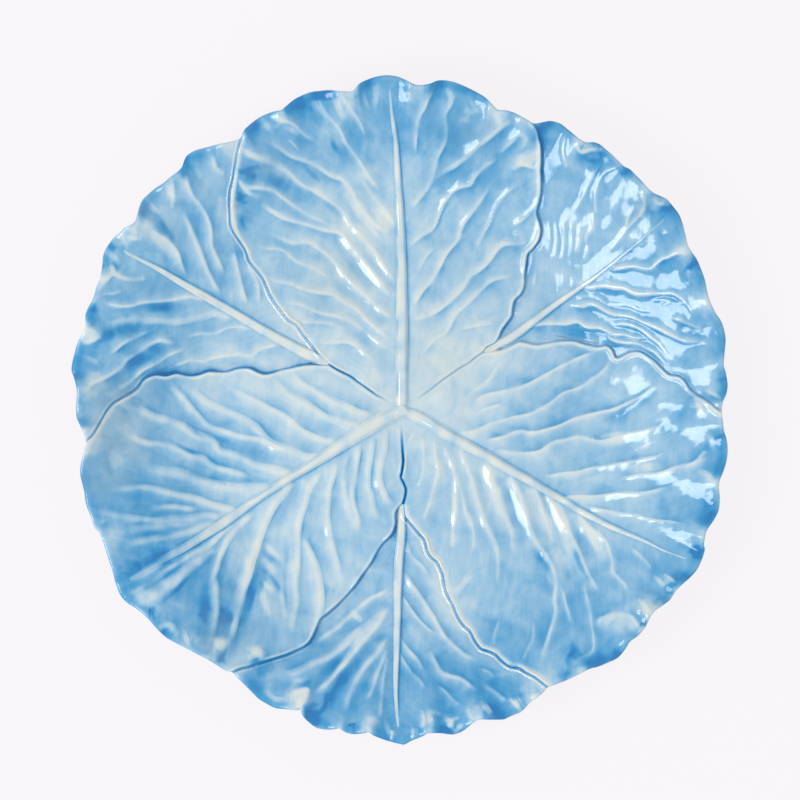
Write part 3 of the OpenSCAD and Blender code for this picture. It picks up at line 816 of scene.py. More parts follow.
def wander(x, y, size, seed):
    """Gentle unevenness, about 1 high, with swells of the given size in mm."""
    dice = np.random.default_rng(seed)
    total = np.zeros(x.shape)
    for _ in range(WAVES):
        way, phase = dice.uniform(0, 2 * math.pi, 2)
        wave = 2 * math.pi / (size * dice.uniform(0.7, 1.6))
        total += np.sin((x * math.cos(way) + y * math.sin(way)) * wave + phase)
    return total / math.sqrt(WAVES / 2)


print("unevenness along 200 mm, its spread:",
      wander(np.linspace(-100, 100, 400), np.zeros(400), 15, 3).std().round(2))

# %% [markdown]
# A vein on a cabbage leaf leans: it falls away steeply on the side towards the leaf's foot and slowly
# on the other, and the steep side is turned further away from the soft box on the left. The steep side
# is where the glaze pools and is painted bluer as shade, the crest stays cream, and the slow side,
# which faces the box, is painted paler as light.
# A vein starts broad at the midrib and gets thinner and lower along its way.

# %% One stroke
START = 5                                       # mm over which a vein rises out of the midrib
FADE_FROM, FADE_OVER = 0.84, 0.16               # shares of its length over which it dies away
FOOT_CUT = 0.03                                 # height at which its foot meets the blade


def steep_way(leaf):
    """The way that the steep sides of a leaf's veins face, as a unit vector."""
    line = midrib_lines[leaf][0]
    foot = (line[0] - line[-1]) / np.linalg.norm(line[0] - line[-1])
    # turned right, away from the soft box on the left, so the blue at each steep foot is partly painted
    # shade
    way = foot + np.array([0.8, 0])
    return way / np.linalg.norm(way)


def stroke_at(kind, line, steep, number, crest, x, y):
    """Height of one stroke and what it adds to the glaze."""
    high, wide, cream, pool = KINDS[kind]
    wide = wide * (1 + 0.15 * math.sin(2.7 * number)) * (0.6 + 0.55 * crest if kind in CRISP else 1)
    d, way_x, way_y, at = beside(line, x, y, 6 * wide)
    s = at / distances(line)[-1]
    # 1 straight off the steep side, -1 straight off the slow one, and soft between them on the line
    lean = (way_x * steep[0] + way_y * steep[1]) / np.maximum(d, 0.35)
    leaning = wide * (1.1 - 0.4 * lean)
    if kind in HOLLOWS:
        # d and n gather blue, and h is painted paler, a highlight where its tilted side mirrors the window
        body = np.sin(math.pi * np.clip(s, 0.12, 0.88)) * bell(d, leaning, 3)
        return high * body, -cream * body
    fade = ease(at / START) * (1 - 0.3 * ease((s - 0.4) / 0.6)) * (1 - ease((s - FADE_FROM) / FADE_OVER))
    if kind in HIGHLIGHTS_AND_WIPES or kind == "w":
        fade = np.sin(math.pi * np.clip(s, 0.07, 0.93)) ** 0.6
    fade = fade * (1 + 0.06 * np.sin(0.8 * at + number) + 0.14 * np.sin(0.25 * at + 2 * number))
    # c and e have no height: mostly painted highlights, with the glaze partly wiped thin
    if kind in HIGHLIGHTS_AND_WIPES:
        return 0, -cream * fade * bell(d, leaning, 4)
    # side veins leave the midrib narrow, so that their roots don't look like pins stuck in it
    root = 0.45 + 0.55 * ease(at / 9) if kind in SIDE_VEINS else 1
    slope = wide * root * (1.2 - 0.62 * lean) * (1.2 - 0.6 * s)
    blunt = 1.2 * crest
    body = np.exp(-(np.sqrt(d * d + blunt ** 2) - blunt) / slope)
    body = fade * np.clip(body - FOOT_CUT, 0, 1) / (1 - FOOT_CUT)
    # cream on the crest and a little down the slow side, which faces the soft box and is painted paler as
    # light, and blue at the foot of the steep one, pooled glaze with painted shade on it
    on_crest = (1.3 - 0.3 * crest) * bell(d, root * crest * wide, 4)
    cream_and_light_on_slow_side = 0.5 * np.clip(0.2 - lean, 0, 1) * bell(d, 2.4 * wide)
    past = np.clip(d / wide - crest - 0.2, 0, None)
    pool_and_shade_at_steep_foot = pool * np.clip(lean + 0.1, 0, 1) * ease((d / wide - crest) / 0.25)
    tint = -cream * (on_crest + cream_and_light_on_slow_side)
    tint += pool_and_shade_at_steep_foot * (0.65 * bell(past, 0.35, 1) + 0.55 * bell(past, 1.5, 1))
    return high * body, fade * tint


kind, line = strokes["bottom"][2]
half_way = line[len(line) // 2][:, None]
print("a strong vein half-way, mm high and glaze added:",
      [v.round(2).tolist() for v in stroke_at(kind, line, steep_way("bottom"), 2, 0.65, *half_way)])

# %% [markdown]
# The strokes of a leaf together. The blade hangs between its veins like cloth, and veins that meet
# are merged as rounded ridges: their heights' cubes are added and the cube root is taken, so a
# crossing is hardly higher than the higher of the two, and no hard corner shows between them.

# %% All the strokes of a leaf
MOST_TINT = 0.4                                 # strokes together don't change the glaze by more


def veined(leaf, x, y):
    """Height of a leaf's veins, folds and hollows, and what they add to the glaze."""
    steep = steep_way(leaf)
    ridge, hollow, tint = np.zeros(x.shape), np.zeros(x.shape), np.zeros(x.shape)
    wx, wy = x + 0.18 * wander(x, y, 15, 21), y + 0.18 * wander(x, y, 15, 22)
    for number, (kind, line) in enumerate(strokes[leaf]):
        high, glaze = stroke_at(kind, line, steep, number, CRESTS[leaf], wx, wy)
        if kind in HOLLOWS:
            hollow += high
        else:
            ridge += high ** 3
        tint += glaze
    ridge = ridge * VEINS[leaf] ** 3
    tint *= VEINS[leaf] * np.clip(1.0 + 0.45 * wander(x, y, 16, 51), 0.2, 1.6)
    return np.cbrt(ridge) + hollow, MOST_TINT * np.tanh(tint / MOST_TINT)


# %% [markdown]
# Where leaves meet. An inner leaf lies a step above the outer ones, with a rolled lip along its edge.
# The glaze has gathered in the corner under each step and run off the lip, by its own amount on
# every line, and the lip's pale line is partly a painted highlight. On an outer leaf the blue under the
# step is painted broader on the side away from the soft box, as shade. Two overlapping solids would give
# the same step, but their faces would cross below the glaze, where a finish can't be kept even.

# %% Steps, lips and pools
STEP = 1.5
LIP, LIP_AT, LIP_WIDE = 0.5, 1.0, 0.75
DENT, DENT_WIDE = 0.7, 3.5                      # shallow dent beside a lip that holds little glaze
CREASE = 0.7                                    # width of the crease where two leaves meet
SEAM_LOOK = {"top_left": (0.60, 0.26), "top_right": (0.22, 0.16), "bottom": (0.85, 0.18)}
# a line's pool is partly painted shade, and its pale lip partly a painted highlight
EDGE_LOOK = {  # how much glaze pools along the line, and how pale its lip is
    "top_left": (0.45, 0.38), "top_right": (0.70, 0.30), "left": (0.78, 0.34), "right": (0.14, 0.34),
    "bottom_left": (0.66, 0.20), "bottom_right": (0.75, 0.55)}


def add_margins(leaf, x, y, grown, h, tint):
    """Add the step, lip, crease and pool along every line where the leaf meets another; pool and lip are
    partly painted shade and highlight.
    """
    one, other = LEAVES[leaf]
    lines = ([(seam_lines[s], *SEAM_LOOK[s]) for s, _ in (one, other) if s]
             + [(edge_lines[e], *EDGE_LOOK[e]) for _, e in (one, other)])
    d, away, pool, pale = np.full(x.shape, FAR_OFF), *np.zeros((3,) + x.shape)
    for line, deep, light in lines:
        far, way_x, way_y, _ = beside(line, x, y, 8)
        # side is 1 up and right of the line, away from the soft box, where more blue is painted as shade
        side = (0.8 * way_x + 0.6 * way_y) / np.maximum(far, 0.2)
        near = far < d
        d, away = np.minimum(d, far), np.where(near, side, away)
        pool, pale = np.where(near, deep, pool), np.where(near, light, pale)
    away = np.clip(0.5 + 0.8 * away, 0.05, 1)
    uneven = np.clip(1 + 0.55 * wander(x, y, 11, 31), 0.2, 2)
    crease = np.clip(1 - d / CREASE, 0, 1) ** 2
    if leaf in INNER:
        # the step, the lip along its edge, a dent behind the lip, and the crease in front of it
        h += STEP * grown
        h += grown * LIP * uneven * bell(d - LIP_AT, LIP_WIDE)
        h -= DENT * (1 - pool) * grown * bell(d, DENT_WIDE)
        h -= (0.1 + (0.25 + 0.35 * pool) * grown) * crease
        # glaze pooled in the crease, and run off the lip beside it, whose pale line is partly a painted
        # highlight
        tint += grown * (0.85 * pool * bell(d, 0.35 + 0.3 * pool)
                         - 1.2 * uneven ** 0.5 * pale * bell(d - 0.95 - 0.4 * pale, 0.4 + 0.8 * pale))
    else:
        # a trough under the step, and a small second lip where the leaf lies left of the line
        h -= 0.35 * bell(d, 1.4)
        h += 0.4 * crease + (1 - away) * 0.5 * bell(d - 0.85, 0.5)
        # the trough's blue is broad right of the line, away from the soft box, where it is partly painted
        # shade, and narrow beside a pale lip left of it, which faces the box and is partly a painted
        # highlight
        tint += uneven * away * pool * (0.50 * bell(d, 0.6) + 0.24 * bell(d, 2.4))
        tint += (1 - away) * (0.5 * pool * bell(d, 0.45) - (0.1 + 0.8 * pale) * bell(d - 0.9, 0.35)
                              - 0.3 * pale * bell(d, 5))


print("crest of a lip, mm over an outer leaf:", STEP + LIP)

# %% [markdown]
# At the rim the clay rolls over and rises to the notches between the lobes. The glaze is thin in the
# notches and stands along the very edge here and there, and each lobe is painted bluer on the side away
# from the soft box, as shade. Then all that a leaf's face has is put together, fading out at the heart,
# where the leaves are one.

# %% The rim, and the whole relief
ROLL, ROLL_WIDE = 0.7, 3.2
GROWS_FROM, GROWS_OVER = 4, 14                  # mm from the heart, where the relief begins


def add_rim(leaf, x, y, h, tint):
    """Add the roll of the plate's edge, its notches, and painted shade on the side of its lobes away from
    the soft box.
    """
    edge = beside(rim_lines[leaf], x, y, 14)[0]
    angle = np.arctan2(y, x)
    lobe = round_rim(lobes, x, y)
    # how much a point lies on the side of a lobe that faces away from the soft box
    lobe_shade_side = round_rim(slopes, x, y) * (0.4 * np.cos(angle) - 0.9 * np.sin(angle))
    notch = np.clip(-lobe, 0, 1) ** 2
    # notches stand up and shed their glaze, and a broken line of blue follows the very edge
    h += 0.5 * notch * bell(edge, 6)
    tint += ((0.10 * lobe - 0.26 * notch) * bell(edge, 7)
             + 0.16 * np.clip(0.4 + wander(x, y, 18, 71), -0.6, 1) * bell(edge, 0.7))
    # blue painted as shade on the side of a lobe away from the soft box, and a faint line of blue where
    # the roll begins
    tint += 0.30 * np.clip(lobe_shade_side, 0, 1) * bell(edge - 1.5, 4)
    tint += 0.07 * bell(edge - 2.4, 1.3)
    h -= ROLL * np.clip(1 - edge / ROLL_WIDE, 0, 1) ** 2.2
    h -= edge_drop(edge)


def relief(leaf, x, y):
    """A leaf's height over the dish, what it adds to the glaze, and its height without step and lip."""
    grown = ease((np.hypot(x - heart[0], y - heart[1]) - GROWS_FROM) / GROWS_OVER)
    veins, tint = veined(leaf, x, y)
    soft = (veins + 0.14 * wander(x, y, 15, 3) + 0.03 * wander(x, y, 5, 4)) * grown
    h = soft + ruffle(x, y) * grown
    add_margins(leaf, x, y, grown, h, tint)
    add_rim(leaf, x, y, h, tint)
    return h, tint, soft


print("top midrib's bed, 40 mm out, mm over the dish:",
      relief("top", np.array([0.0]), np.array([40.0]))[0].round(2).tolist())


# %% [markdown]
# Deeper glaze stands along the feet of each midrib, and on its right, away from the soft box, more
# blue is painted as shade. It belongs to the leaf, beside the rib, so the rib's width has to be known
# here.

# %% Beside a midrib
RIB_FOOT = 0.25                                 # mm that a rib's foot spreads past the drawn width


def rib_half(leaf, at):
    """Half of the midrib's width at these distances along it."""
    line, width = midrib_lines[leaf]
    foot = RIB_FOOT if leaf in INNER else 1.4 * RIB_FOOT
    return np.interp(at, distances(line), width) / 2 + foot * (1 - 0.6 * at / distances(line)[-1])


def rib_foot_pool_and_shade(leaf, x, y):
    """How much bluer the leaf is beside the midrib: deeper glaze, and painted shade on the right."""
    line = midrib_lines[leaf][0]
    d, way_x, _, at = beside(line, x, y, 9)
    # a thin dark line at the rib's foot and a soft one beyond it, which both end before the tip; both are
    # painted darker on the right, away from the soft box, as shade
    gap = np.maximum(0, d - rib_half(leaf, at))
    right = np.clip(1.3 * way_x / np.maximum(d, 0.3), 0, 1)
    fade = 1 - ease((at / distances(line)[-1] - 0.72) / 0.2)
    if leaf in INNER:
        fade = fade * (0.25 + 0.75 * ease((at - 6) / 30))
    return fade * ((0.10 + 0.34 * right) * bell(gap, 0.5) + 0.12 * right * bell(gap, 1.8))


print("half of each midrib's width at its start, mm:",
      {leaf: round(float(rib_half(leaf, 0)), 1) for leaf in LEAVES})

# %% [markdown]
# Glaze is a coat of glass. While it melts it creeps off ridges and gathers in hollows, and it is
# deeper in colour where it is thicker. So its thickness is worked out from the relief: how far a
# place lies below the average height round it. The whole plate is laid out once on a fine grid to
# find those averages.

# %% The plate on a grid
CELL, GRID_REACH = 0.4, 140
grid_x = np.arange(-GRID_REACH, GRID_REACH + CELL / 2, CELL)
cells = len(grid_x)
gx, gy = np.meshgrid(grid_x, grid_x)


def inside(line):
    """Cells of the grid inside a closed line."""
    flips = np.zeros((cells, cells), bool)
    for (ax, ay), (bx, by) in zip(line, np.roll(line, -1, axis=0)):
        if ay > by:
            ax, ay, bx, by = bx, by, ax, ay
        for row in np.flatnonzero((grid_x >= ay) & (grid_x < by)):
            cut = ax + (bx - ax) * (grid_x[row] - ay) / (by - ay)
            flips[row, np.searchsorted(grid_x, cut):] ^= True
    return flips


def outline(leaf):
    """The closed line round a leaf: up one side, along the rim and down the other side."""
    (s1, e1), (s2, e2) = LEAVES[leaf]
    out = [seam_lines[s1]] if s1 else []
    out.append(edge_lines[e1])
    rim = rim_lines[leaf]
    if np.linalg.norm(rim[0] - out[-1][-1]) > np.linalg.norm(rim[-1] - out[-1][-1]):
        rim = rim[::-1]
    out += [rim, edge_lines[e2][::-1]]
    if s2:
        out.append(seam_lines[s2][::-1])
    return np.vstack(out)


heights, owned = np.zeros((cells, cells)), np.zeros((cells, cells), bool)
for leaf in LEAVES:
    mask = inside(outline(leaf))
    heights[mask] = relief(leaf, gx[mask], gy[mask])[2]
    owned |= mask
print("plate area in plan, cm2:", round(float(owned.sum()) * CELL ** 2 / 100, 1))

# %% Average heights round every place
NEAR, WIDE = 0.9, 3.2                           # mm over which the heights are averaged
LEAST_OWNED = 0.05


def blur(values, size):
    """Values on the grid, averaged over about this many mm."""
    wave = np.fft.fftfreq(cells, CELL) * 2 * math.pi
    soft = np.exp(-0.5 * (wave[:, None] ** 2 + wave[None, :] ** 2) * size ** 2)
    return np.real(np.fft.ifft2(np.fft.fft2(values) * soft))


def average_height(size):
    """Average over the cells that the plate covers, so that the rim isn't drawn down."""
    return blur(heights, size) / np.maximum(blur(owned.astype(float), size), LEAST_OWNED)


near_height, wide_height = average_height(NEAR), average_height(WIDE)


def on_grid(values, x, y):
    """The grid's values at any place, between its cells."""
    fx, fy = (x - grid_x[0]) / CELL, (y - grid_x[0]) / CELL
    ix, iy = np.clip(fx.astype(int), 0, cells - 2), np.clip(fy.astype(int), 0, cells - 2)
    u, v = fx - ix, fy - iy
    return ((values[iy, ix] * (1 - u) + values[iy, ix + 1] * u) * (1 - v)
            + (values[iy + 1, ix] * (1 - u) + values[iy + 1, ix + 1] * u) * v)


print("average heights, mm, up to:", near_height.max().round(2), "and", wide_height.max().round(2))

# %% [markdown]
# Three things add up to the thickness of the glaze: the pour, which is thin in the well and stands
# deeper towards the rim, the creep from ridges into hollows, and the washes, whose borders wander as
# those of wet glaze do. Where it has nearly run off, the last film clings, so it hardly thins further.
# It is kept on the points and not painted, so the finish fits the relief at any size of picture.

# %% Thickness of the glaze
POUR_R = [0, 30, 52, 72, 92, 112, 130]          # mm from the middle
POUR = [0.31, 0.325, 0.355, 0.39, 0.46, 0.545, 0.565]
THIN = 0.22                                     # below this it thins at CLING of the rate
CLING = 0.45
NEAR_CREEP, WIDE_CREEP = 0.36, 0.44             # what a mm below each of the two averages adds
BACK_GLAZE, INNER_GLAZE = 0.56, 0.5             # underneath, and where no one can see


def glaze_at(x, y, soft):
    """Thickness of the glaze, about 0 where it has run off and 1 where it stands deepest."""
    near, wide = on_grid(near_height, x, y) - soft, on_grid(wide_height, x, y) - soft
    poured = washes(blue_washes, x + 1.0 * wander(x, y, 7, 61) + 0.3 * wander(x, y, 2.5, 63),
                    y + 1.0 * wander(x, y, 7, 62) + 0.3 * wander(x, y, 2.5, 64))
    return np.interp(np.hypot(x, y), POUR_R, POUR) + NEAR_CREEP * near + WIDE_CREEP * wide + poured


def settled(glaze):
    """The glaze as it stays, with a film clinging where it would have run off."""
    return np.where(glaze < THIN, THIN + CLING * (glaze - THIN), glaze)


print("glaze at the heart:", settled(glaze_at(heart[:1], heart[1:], np.zeros(1))).round(2).tolist())

# %% [markdown]
# Each leaf is a closed shell. Its face is a net of rows that fan out from the midrib to the edge, so
# the rows lie about along the side veins, and it is finest where the lip rolls over. A primitive and
# edit-mode tools can't give a relief like this, so the net is written point by point. Neighbours
# share the same places along an edge, so no gap opens between them.

# %% Net of a leaf
COARSE = 1
SEAM_ROWS, EDGE_ROWS, INNER_RIM_ROWS, OUTER_RIM_ROWS = [n // COARSE for n in (60, 240, 192, 152)]
INNER_STEPS, OUTER_STEPS, BACK_STEPS = [n // COARSE for n in (84, 80, 12)]
LIP_STEPS = [2.6, 2.0, 1.5, 1.1, 0.75, 0.45, 0.2, 0]
FAN = 1.5                                       # rows crowd towards the leaf's root by this power
BOW = 0.24                                      # rows bow towards the tip, against their length
print("rows of an inner leaf:", SEAM_ROWS + EDGE_ROWS + INNER_RIM_ROWS, "steps of each half:", INNER_STEPS)


def chain(leaf, seam, edge):
    """One side of a leaf from its root to its tip, as evenly spaced places."""
    rim = rim_lines[leaf]
    midrib_end = midrib_lines[leaf][0][-1]
    tip = int(np.argmin(np.linalg.norm(rim - midrib_end, axis=1)))
    half = rim[:tip + 1] if np.linalg.norm(rim[0] - edge_lines[edge][-1]) < 1e-6 else rim[tip:][::-1]
    parts = [spaced(seam_lines[seam], SEAM_ROWS)] if seam else []
    parts.append(spaced(edge_lines[edge], EDGE_ROWS))
    parts.append(spaced(half, INNER_RIM_ROWS if leaf in INNER else OUTER_RIM_ROWS))
    return np.vstack([p[:-1] for p in parts[:-1]] + [parts[-1]])


def net(spine, side, shares, bow):
    """Places in plan, rows by steps: from the midrib (share 0) to the side (share 1), bowed a little."""
    way = side - spine
    long = np.linalg.norm(way, axis=1)[:, None, None]
    forward = np.gradient(spine, axis=0)
    forward /= np.linalg.norm(forward, axis=1)[:, None]
    w = shares[:, :, None]
    return spine[:, None] + way[:, None] * w + forward[:, None] * long * bow * w * (1 - w)


def face_shares(spine, side, steps):
    """Even steps, with the last ones at fixed distances from the edge, where there is room."""
    long = np.linalg.norm(side - spine, axis=1)[:, None]
    lip = np.array(LIP_STEPS) * np.minimum(1, long / 10)
    lip = 1 - lip / np.maximum(long, 1e-6)
    even = np.linspace(0, 1, steps - len(LIP_STEPS) + 2)[:-1] * lip[:, :1]
    return np.hstack([even, lip])


def fold_count(plan):
    """How many faces of the net are turned over, and how many it has."""
    a = plan[1:, :-1] - plan[:-1, :-1]
    b = plan[:-1, 1:] - plan[:-1, :-1]
    turn_way = a[..., 0] * b[..., 1] - a[..., 1] * b[..., 0]
    return int(min((turn_way > 0).sum(), (turn_way < 0).sum())), turn_way.size


def whole_net(spine, sides, shares, bow):
    """The nets of both halves side by side, without the points at the root and the tip."""
    halves = [net(spine, side, share, bow) for side, share in zip(sides, shares)]
    plan = np.concatenate([halves[0][:, ::-1], halves[1][:, 1:]], axis=1)[1:-1]
    return plan, [fold_count(h) for h in halves]


# %% [markdown]
# A net becomes a mesh when its points are joined in fours. The face and the back of a piece are two
# nets with walls between them. What the finish has to know about a point is kept with the mesh: how
# thick the glaze is, how grey, which way the brush went over it, and how much of its marks is left.

# %% From nets to a mesh


def quads(first, rows, columns, flip=False):
    """Faces of a net whose points are numbered row by row from first."""
    a = (first + np.arange(rows - 1)[:, None] * columns + np.arange(columns - 1)[None]).ravel()
    q = np.column_stack([a, a + 1, a + columns + 1, a + columns])
    return (q[:, ::-1] if flip else q).tolist()


def walled(rows, front, back):
    """Faces of a net with so many points to a row, of the one behind it, and of the two long walls."""
    first_back = rows * front
    faces = quads(0, rows, front) + quads(first_back, rows, back, True)
    for i in range(rows - 1):
        f, b = i * front, first_back + i * back
        faces.append([f, f + front, b + back, b])
        g, h = f + front - 1, b + back - 1
        faces.append([g + front, g, h, h + back])
    return faces


def pointed(rows, front, back):
    """Faces that close both nets to a point at the root and at the tip."""
    first_back, end = rows * front, rows * (front + back)
    root, tip, root_back, tip_back = range(end, end + 4)
    last, last_back = first_back - front, end - back
    faces = [[root, c + 1, c] for c in range(front - 1)]
    faces += [[last + c, last + c + 1, tip] for c in range(front - 1)]
    faces += [[root_back, first_back + c, first_back + c + 1] for c in range(back - 1)]
    faces += [[last_back + c + 1, last_back + c, tip_back] for c in range(back - 1)]
    return faces + [
        [root, 0, first_back, root_back], [front - 1, root, root_back, first_back + back - 1],
        [last, tip, tip_back, last_back], [tip, last + front - 1, last_back + back - 1, tip_back]]


def mesh_piece(name, points, faces, glaze, flow, brush):
    """A closed mesh from points in mm, with its glaze and greyness, and the way and weight of the brush."""
    mesh = bpy.data.meshes.new(name)
    mesh.from_pydata((points * 0.001).tolist(), [], faces)
    mesh.update()
    grey = washes(grey_washes, points[:, 0], points[:, 1])
    for key, values in (("glaze", glaze), ("grey", grey), ("brush", brush)):
        mesh.attributes.new(key, "FLOAT", "POINT").data.foreach_set("value", values.astype(np.float32))
    mesh.attributes.new("flow", "FLOAT_VECTOR", "POINT").data.foreach_set(
        "vector", np.ascontiguousarray(flow, np.float32).ravel())
    piece = bpy.data.objects.new(name, mesh)
    bpy.context.collection.objects.link(piece)
    print(name, "faces:", len(faces), "glaze:", np.percentile(glaze, [2, 50, 98]).round(2).tolist())
    return piece


# %% [markdown]
# The face of a leaf gets the dish and the leaf's relief, and its back the plain underside. The brush
# went from the midrib out, so its marks lie along the rows and change from row to row. Where the rows
# crowd together near the root, the marks would be too fine and are left off.

# %% Leaves
MARKS_LONG = 0.11                               # brush marks are nine times as long as wide
LEAF_APART = 20.0                               # keeps each leaf's marks unlike the others'


def on_face(leaf, plan):
    """Points and glaze of the leaf's face."""
    x, y = plan[..., 0].ravel(), plan[..., 1].ravel()
    h, tint, soft = relief(leaf, x, y)
    z = dish(np.hypot(x, y)) + h
    return np.column_stack([x, y, z]), settled(glaze_at(x, y, soft) + tint + rib_foot_pool_and_shade(leaf, x, y))


def on_back(leaf, plan):
    """Points and glaze of the leaf's back."""
    x, y = plan[..., 0].ravel(), plan[..., 1].ravel()
    z = underside(np.hypot(x, y)) + 0.6 * ruffle(x, y)
    z += edge_drop(beside(rim_lines[leaf], x, y, 6)[0])
    return np.column_stack([x, y, z]), BACK_GLAZE + 0.05 * wander(x, y, 14, 8)


def brush_marks(leaf, plan, spine):
    """The way of the brush at each point of the face, and how much of its marks is left."""
    out = np.linalg.norm(plan - spine[1:-1, None], axis=2)
    apart = [np.linalg.norm(np.diff(plan[:, int(k * plan.shape[1])], axis=0), axis=1) for k in (0.15, 0.85)]
    over_rows = np.concatenate([[0], np.cumsum((apart[0] + apart[1]) / 2)])
    between = np.linalg.norm(np.gradient(plan, axis=0), axis=2)
    number = LEAF_APART * (1 + list(LEAVES).index(leaf))
    flow = np.stack([np.broadcast_to(over_rows[:, None], out.shape), MARKS_LONG * out,
                     np.full(out.shape, number)], axis=2).reshape(-1, 3)
    return flow, ease(between / (0.8 * over_rows[-1] / len(plan))).ravel()


def leaf_piece(leaf):
    """One leaf as a closed shell."""
    sides = [chain(leaf, seam, edge) for seam, edge in LEAVES[leaf]]
    rows = len(sides[0]) - 1
    line = np.vstack([sides[0][:1], midrib_lines[leaf][0][1:-1], sides[0][-1:]])
    spine = at_lengths(line, (np.arange(rows + 1) / rows) ** FAN * distances(line)[-1])
    steps = INNER_STEPS if leaf in INNER else OUTER_STEPS
    plan, folds = whole_net(spine, sides, [face_shares(spine, side, steps) for side in sides], BOW)
    even = np.tile(np.linspace(0, 1, BACK_STEPS + 1), (rows + 1, 1))
    back, back_folds = whole_net(spaced(line, rows), sides, [even, even], 0)
    print("leaf_" + leaf, "faces of each net turned over:", folds + back_folds)
    ends = np.vstack([line[:1], line[-1:]])
    (face_p, face_g), (back_p, back_g) = on_face(leaf, plan), on_back(leaf, back)
    (end_p, end_g), (end_back_p, end_back_g) = on_face(leaf, ends), on_back(leaf, ends)
    sizes = len(plan), plan.shape[1], back.shape[1]
    # a row begins on the right, so as joined the faces look inwards, and each is turned over
    faces = [f[:1] + f[:0:-1] for f in walled(*sizes) + pointed(*sizes)]
    points = np.vstack([face_p, back_p, end_p, end_back_p])
    glaze = np.concatenate([face_g, back_g, end_g, end_back_g])
    flow, brush = brush_marks(leaf, plan, spine)
    flow = np.vstack([flow, 0.5 * back_p, flow[:1], flow[-1:], 0.5 * end_back_p])
    brush = np.concatenate([brush, np.full(len(back_p), 0.5), [0, 0, 0, 0]])
    return mesh_piece("leaf_" + leaf + "_glazed", points, faces, glaze, flow, brush)


leaves = {leaf: leaf_piece(leaf) for leaf in LEAVES}

# %% [markdown]
# Midribs are rounded bars that taper to the tip. They sit in the leaf with their feet just under its
# face. Their glaze is the thinnest on the plate, and towards the tip it turns into the leaf's own. A
# curve with a bevel would give such a bar, but its feet would hang over every dip of the relief, so
# the rib is a net too, and takes its height from the leaf below each of its points.

# %% Height and glaze of a midrib
RIB_H, RIB_TIP_H = 1.65, 0.5
RIB_SUNK, RIB_LOW = 0.05, 0.8                   # its foot and its underside, below the leaf's face
TIP_SHORT, TIP_TAPER = 3, 16                    # it ends this far from the rim, after sinking in
RIB_BRUSH, RIB_NUMBER = 1.2, 7.0
STREAK_WAY = (-0.7, 0.7)                        # the flank that has a thin blue streak faces this way
RIB_BLENDS = {"lower_left": 0.62, "upper_right": 0.4}      # share of its length where it turns blue
RIB_BLENDS_USUAL = 0.78


def rib_over(leaf, far, side):
    """How high a rib stands over the leaf, so far along it. side is -1 and 1 at its feet."""
    inner = leaf in INNER
    whole = distances(midrib_lines[leaf][0])[-1]
    taper = RIB_H + (RIB_TIP_H - RIB_H) * far / whole
    taper = taper * ease((whole - TIP_SHORT - far) / TIP_TAPER)
    if not inner:
        taper = 0.75 * taper
    over = taper * (0.5 + 0.5 * np.cos(math.pi * np.abs(side) ** (1.9 if inner else 3.0))) - RIB_SUNK
    if inner:                                   # the three inner ribs begin under the crown
        over -= 0.6 * (1 - ease(far / 6))
    return over


def rib_glaze(leaf, x, y, share, side, right, flank, blade):
    """Glaze on a rib: cream, pooled at its feet, painted bluer as shade on the right flank, and with a
    streak on one flank.
    """
    # cream at first and a little bluer to the tip, pooled at the feet, and bluer on the right flank,
    # away from the soft box, as painted shade
    glaze = (0.16 - 0.08 * ease(share / 0.3) if leaf in INNER else 0.04) + 0.12 * share ** 1.5
    glaze = glaze + 0.12 * side ** 6 + 0.3 * ease(share / 0.15) * np.clip(right, 0, 1) ** 4
    # the streak, broken here and there
    glaze += 0.24 * bell(flank - 0.5, 0.11) * np.clip(0.3 + wander(x, y, 16, 42), 0, 1)
    glaze += 0.06 * wander(x, y, 9, 41)
    # then the leaf's own glaze takes over
    blends = ease((share - RIB_BLENDS.get(leaf, RIB_BLENDS_USUAL)) / 0.3)
    glaze += (0.9 * blade - glaze) * blends * 0.85
    return glaze


print("top midrib 40 mm out, mm over the leaf:", round(float(rib_over("top", 40, 0)), 2))

# %% Midribs
RIB_ROWS, RIB_STEPS = 240 // COARSE, 24


def rib_piece(leaf):
    """One midrib as a closed bar."""
    line = midrib_lines[leaf][0]
    t = np.linspace(0, distances(line)[-1] - TIP_SHORT, RIB_ROWS)
    spine, half = at_lengths(line, t), rib_half(leaf, t)
    ahead = np.gradient(spine, axis=0)
    ahead /= np.linalg.norm(ahead, axis=1)[:, None]
    across = np.column_stack([-ahead[:, 1], ahead[:, 0]])
    u = np.linspace(-1, 1, RIB_STEPS + 1)
    plan = spine[:, None] + across[:, None] * (half[:, None] * u)[..., None]
    x, y = plan[..., 0].ravel(), plan[..., 1].ravel()
    n, m = RIB_ROWS, RIB_STEPS + 1
    far, side = np.repeat(t, m), np.tile(u, n)
    # right grows on the rib's right flank, away from the soft box, which is painted bluer as shade
    right, flank = np.repeat(across[:, 0], m) * side, np.repeat(across @ STREAK_WAY, m) * side
    h, tint, soft = relief(leaf, x, y)
    face = dish(np.hypot(x, y)) + h
    points = np.vstack([np.column_stack([x, y, face + rib_over(leaf, far, side)]),
                        np.column_stack([x, y, face - RIB_LOW])])
    faces = walled(n, m, m)
    faces += [[c + 1, c, n * m + c, n * m + c + 1] for c in range(m - 1)]
    e, f = (n - 1) * m, n * m + (n - 1) * m
    faces += [[e + c, e + c + 1, f + c + 1, f + c] for c in range(m - 1)]
    blade = settled(glaze_at(x, y, soft) + tint)
    glaze = rib_glaze(leaf, x, y, far / distances(line)[-1], side, right, flank, blade)
    flow = np.column_stack([np.repeat(half, m) * side, MARKS_LONG * far, np.full(n * m, RIB_NUMBER)])
    return mesh_piece("midrib_" + leaf + "_glazed", points, [q[::-1] for q in faces],
                      np.concatenate([glaze, np.full(n * m, INNER_GLAZE)]), np.vstack([flow, flow]),
                      np.full(2 * n * m, RIB_BRUSH))


ribs = {leaf: rib_piece(leaf) for leaf in LEAVES}

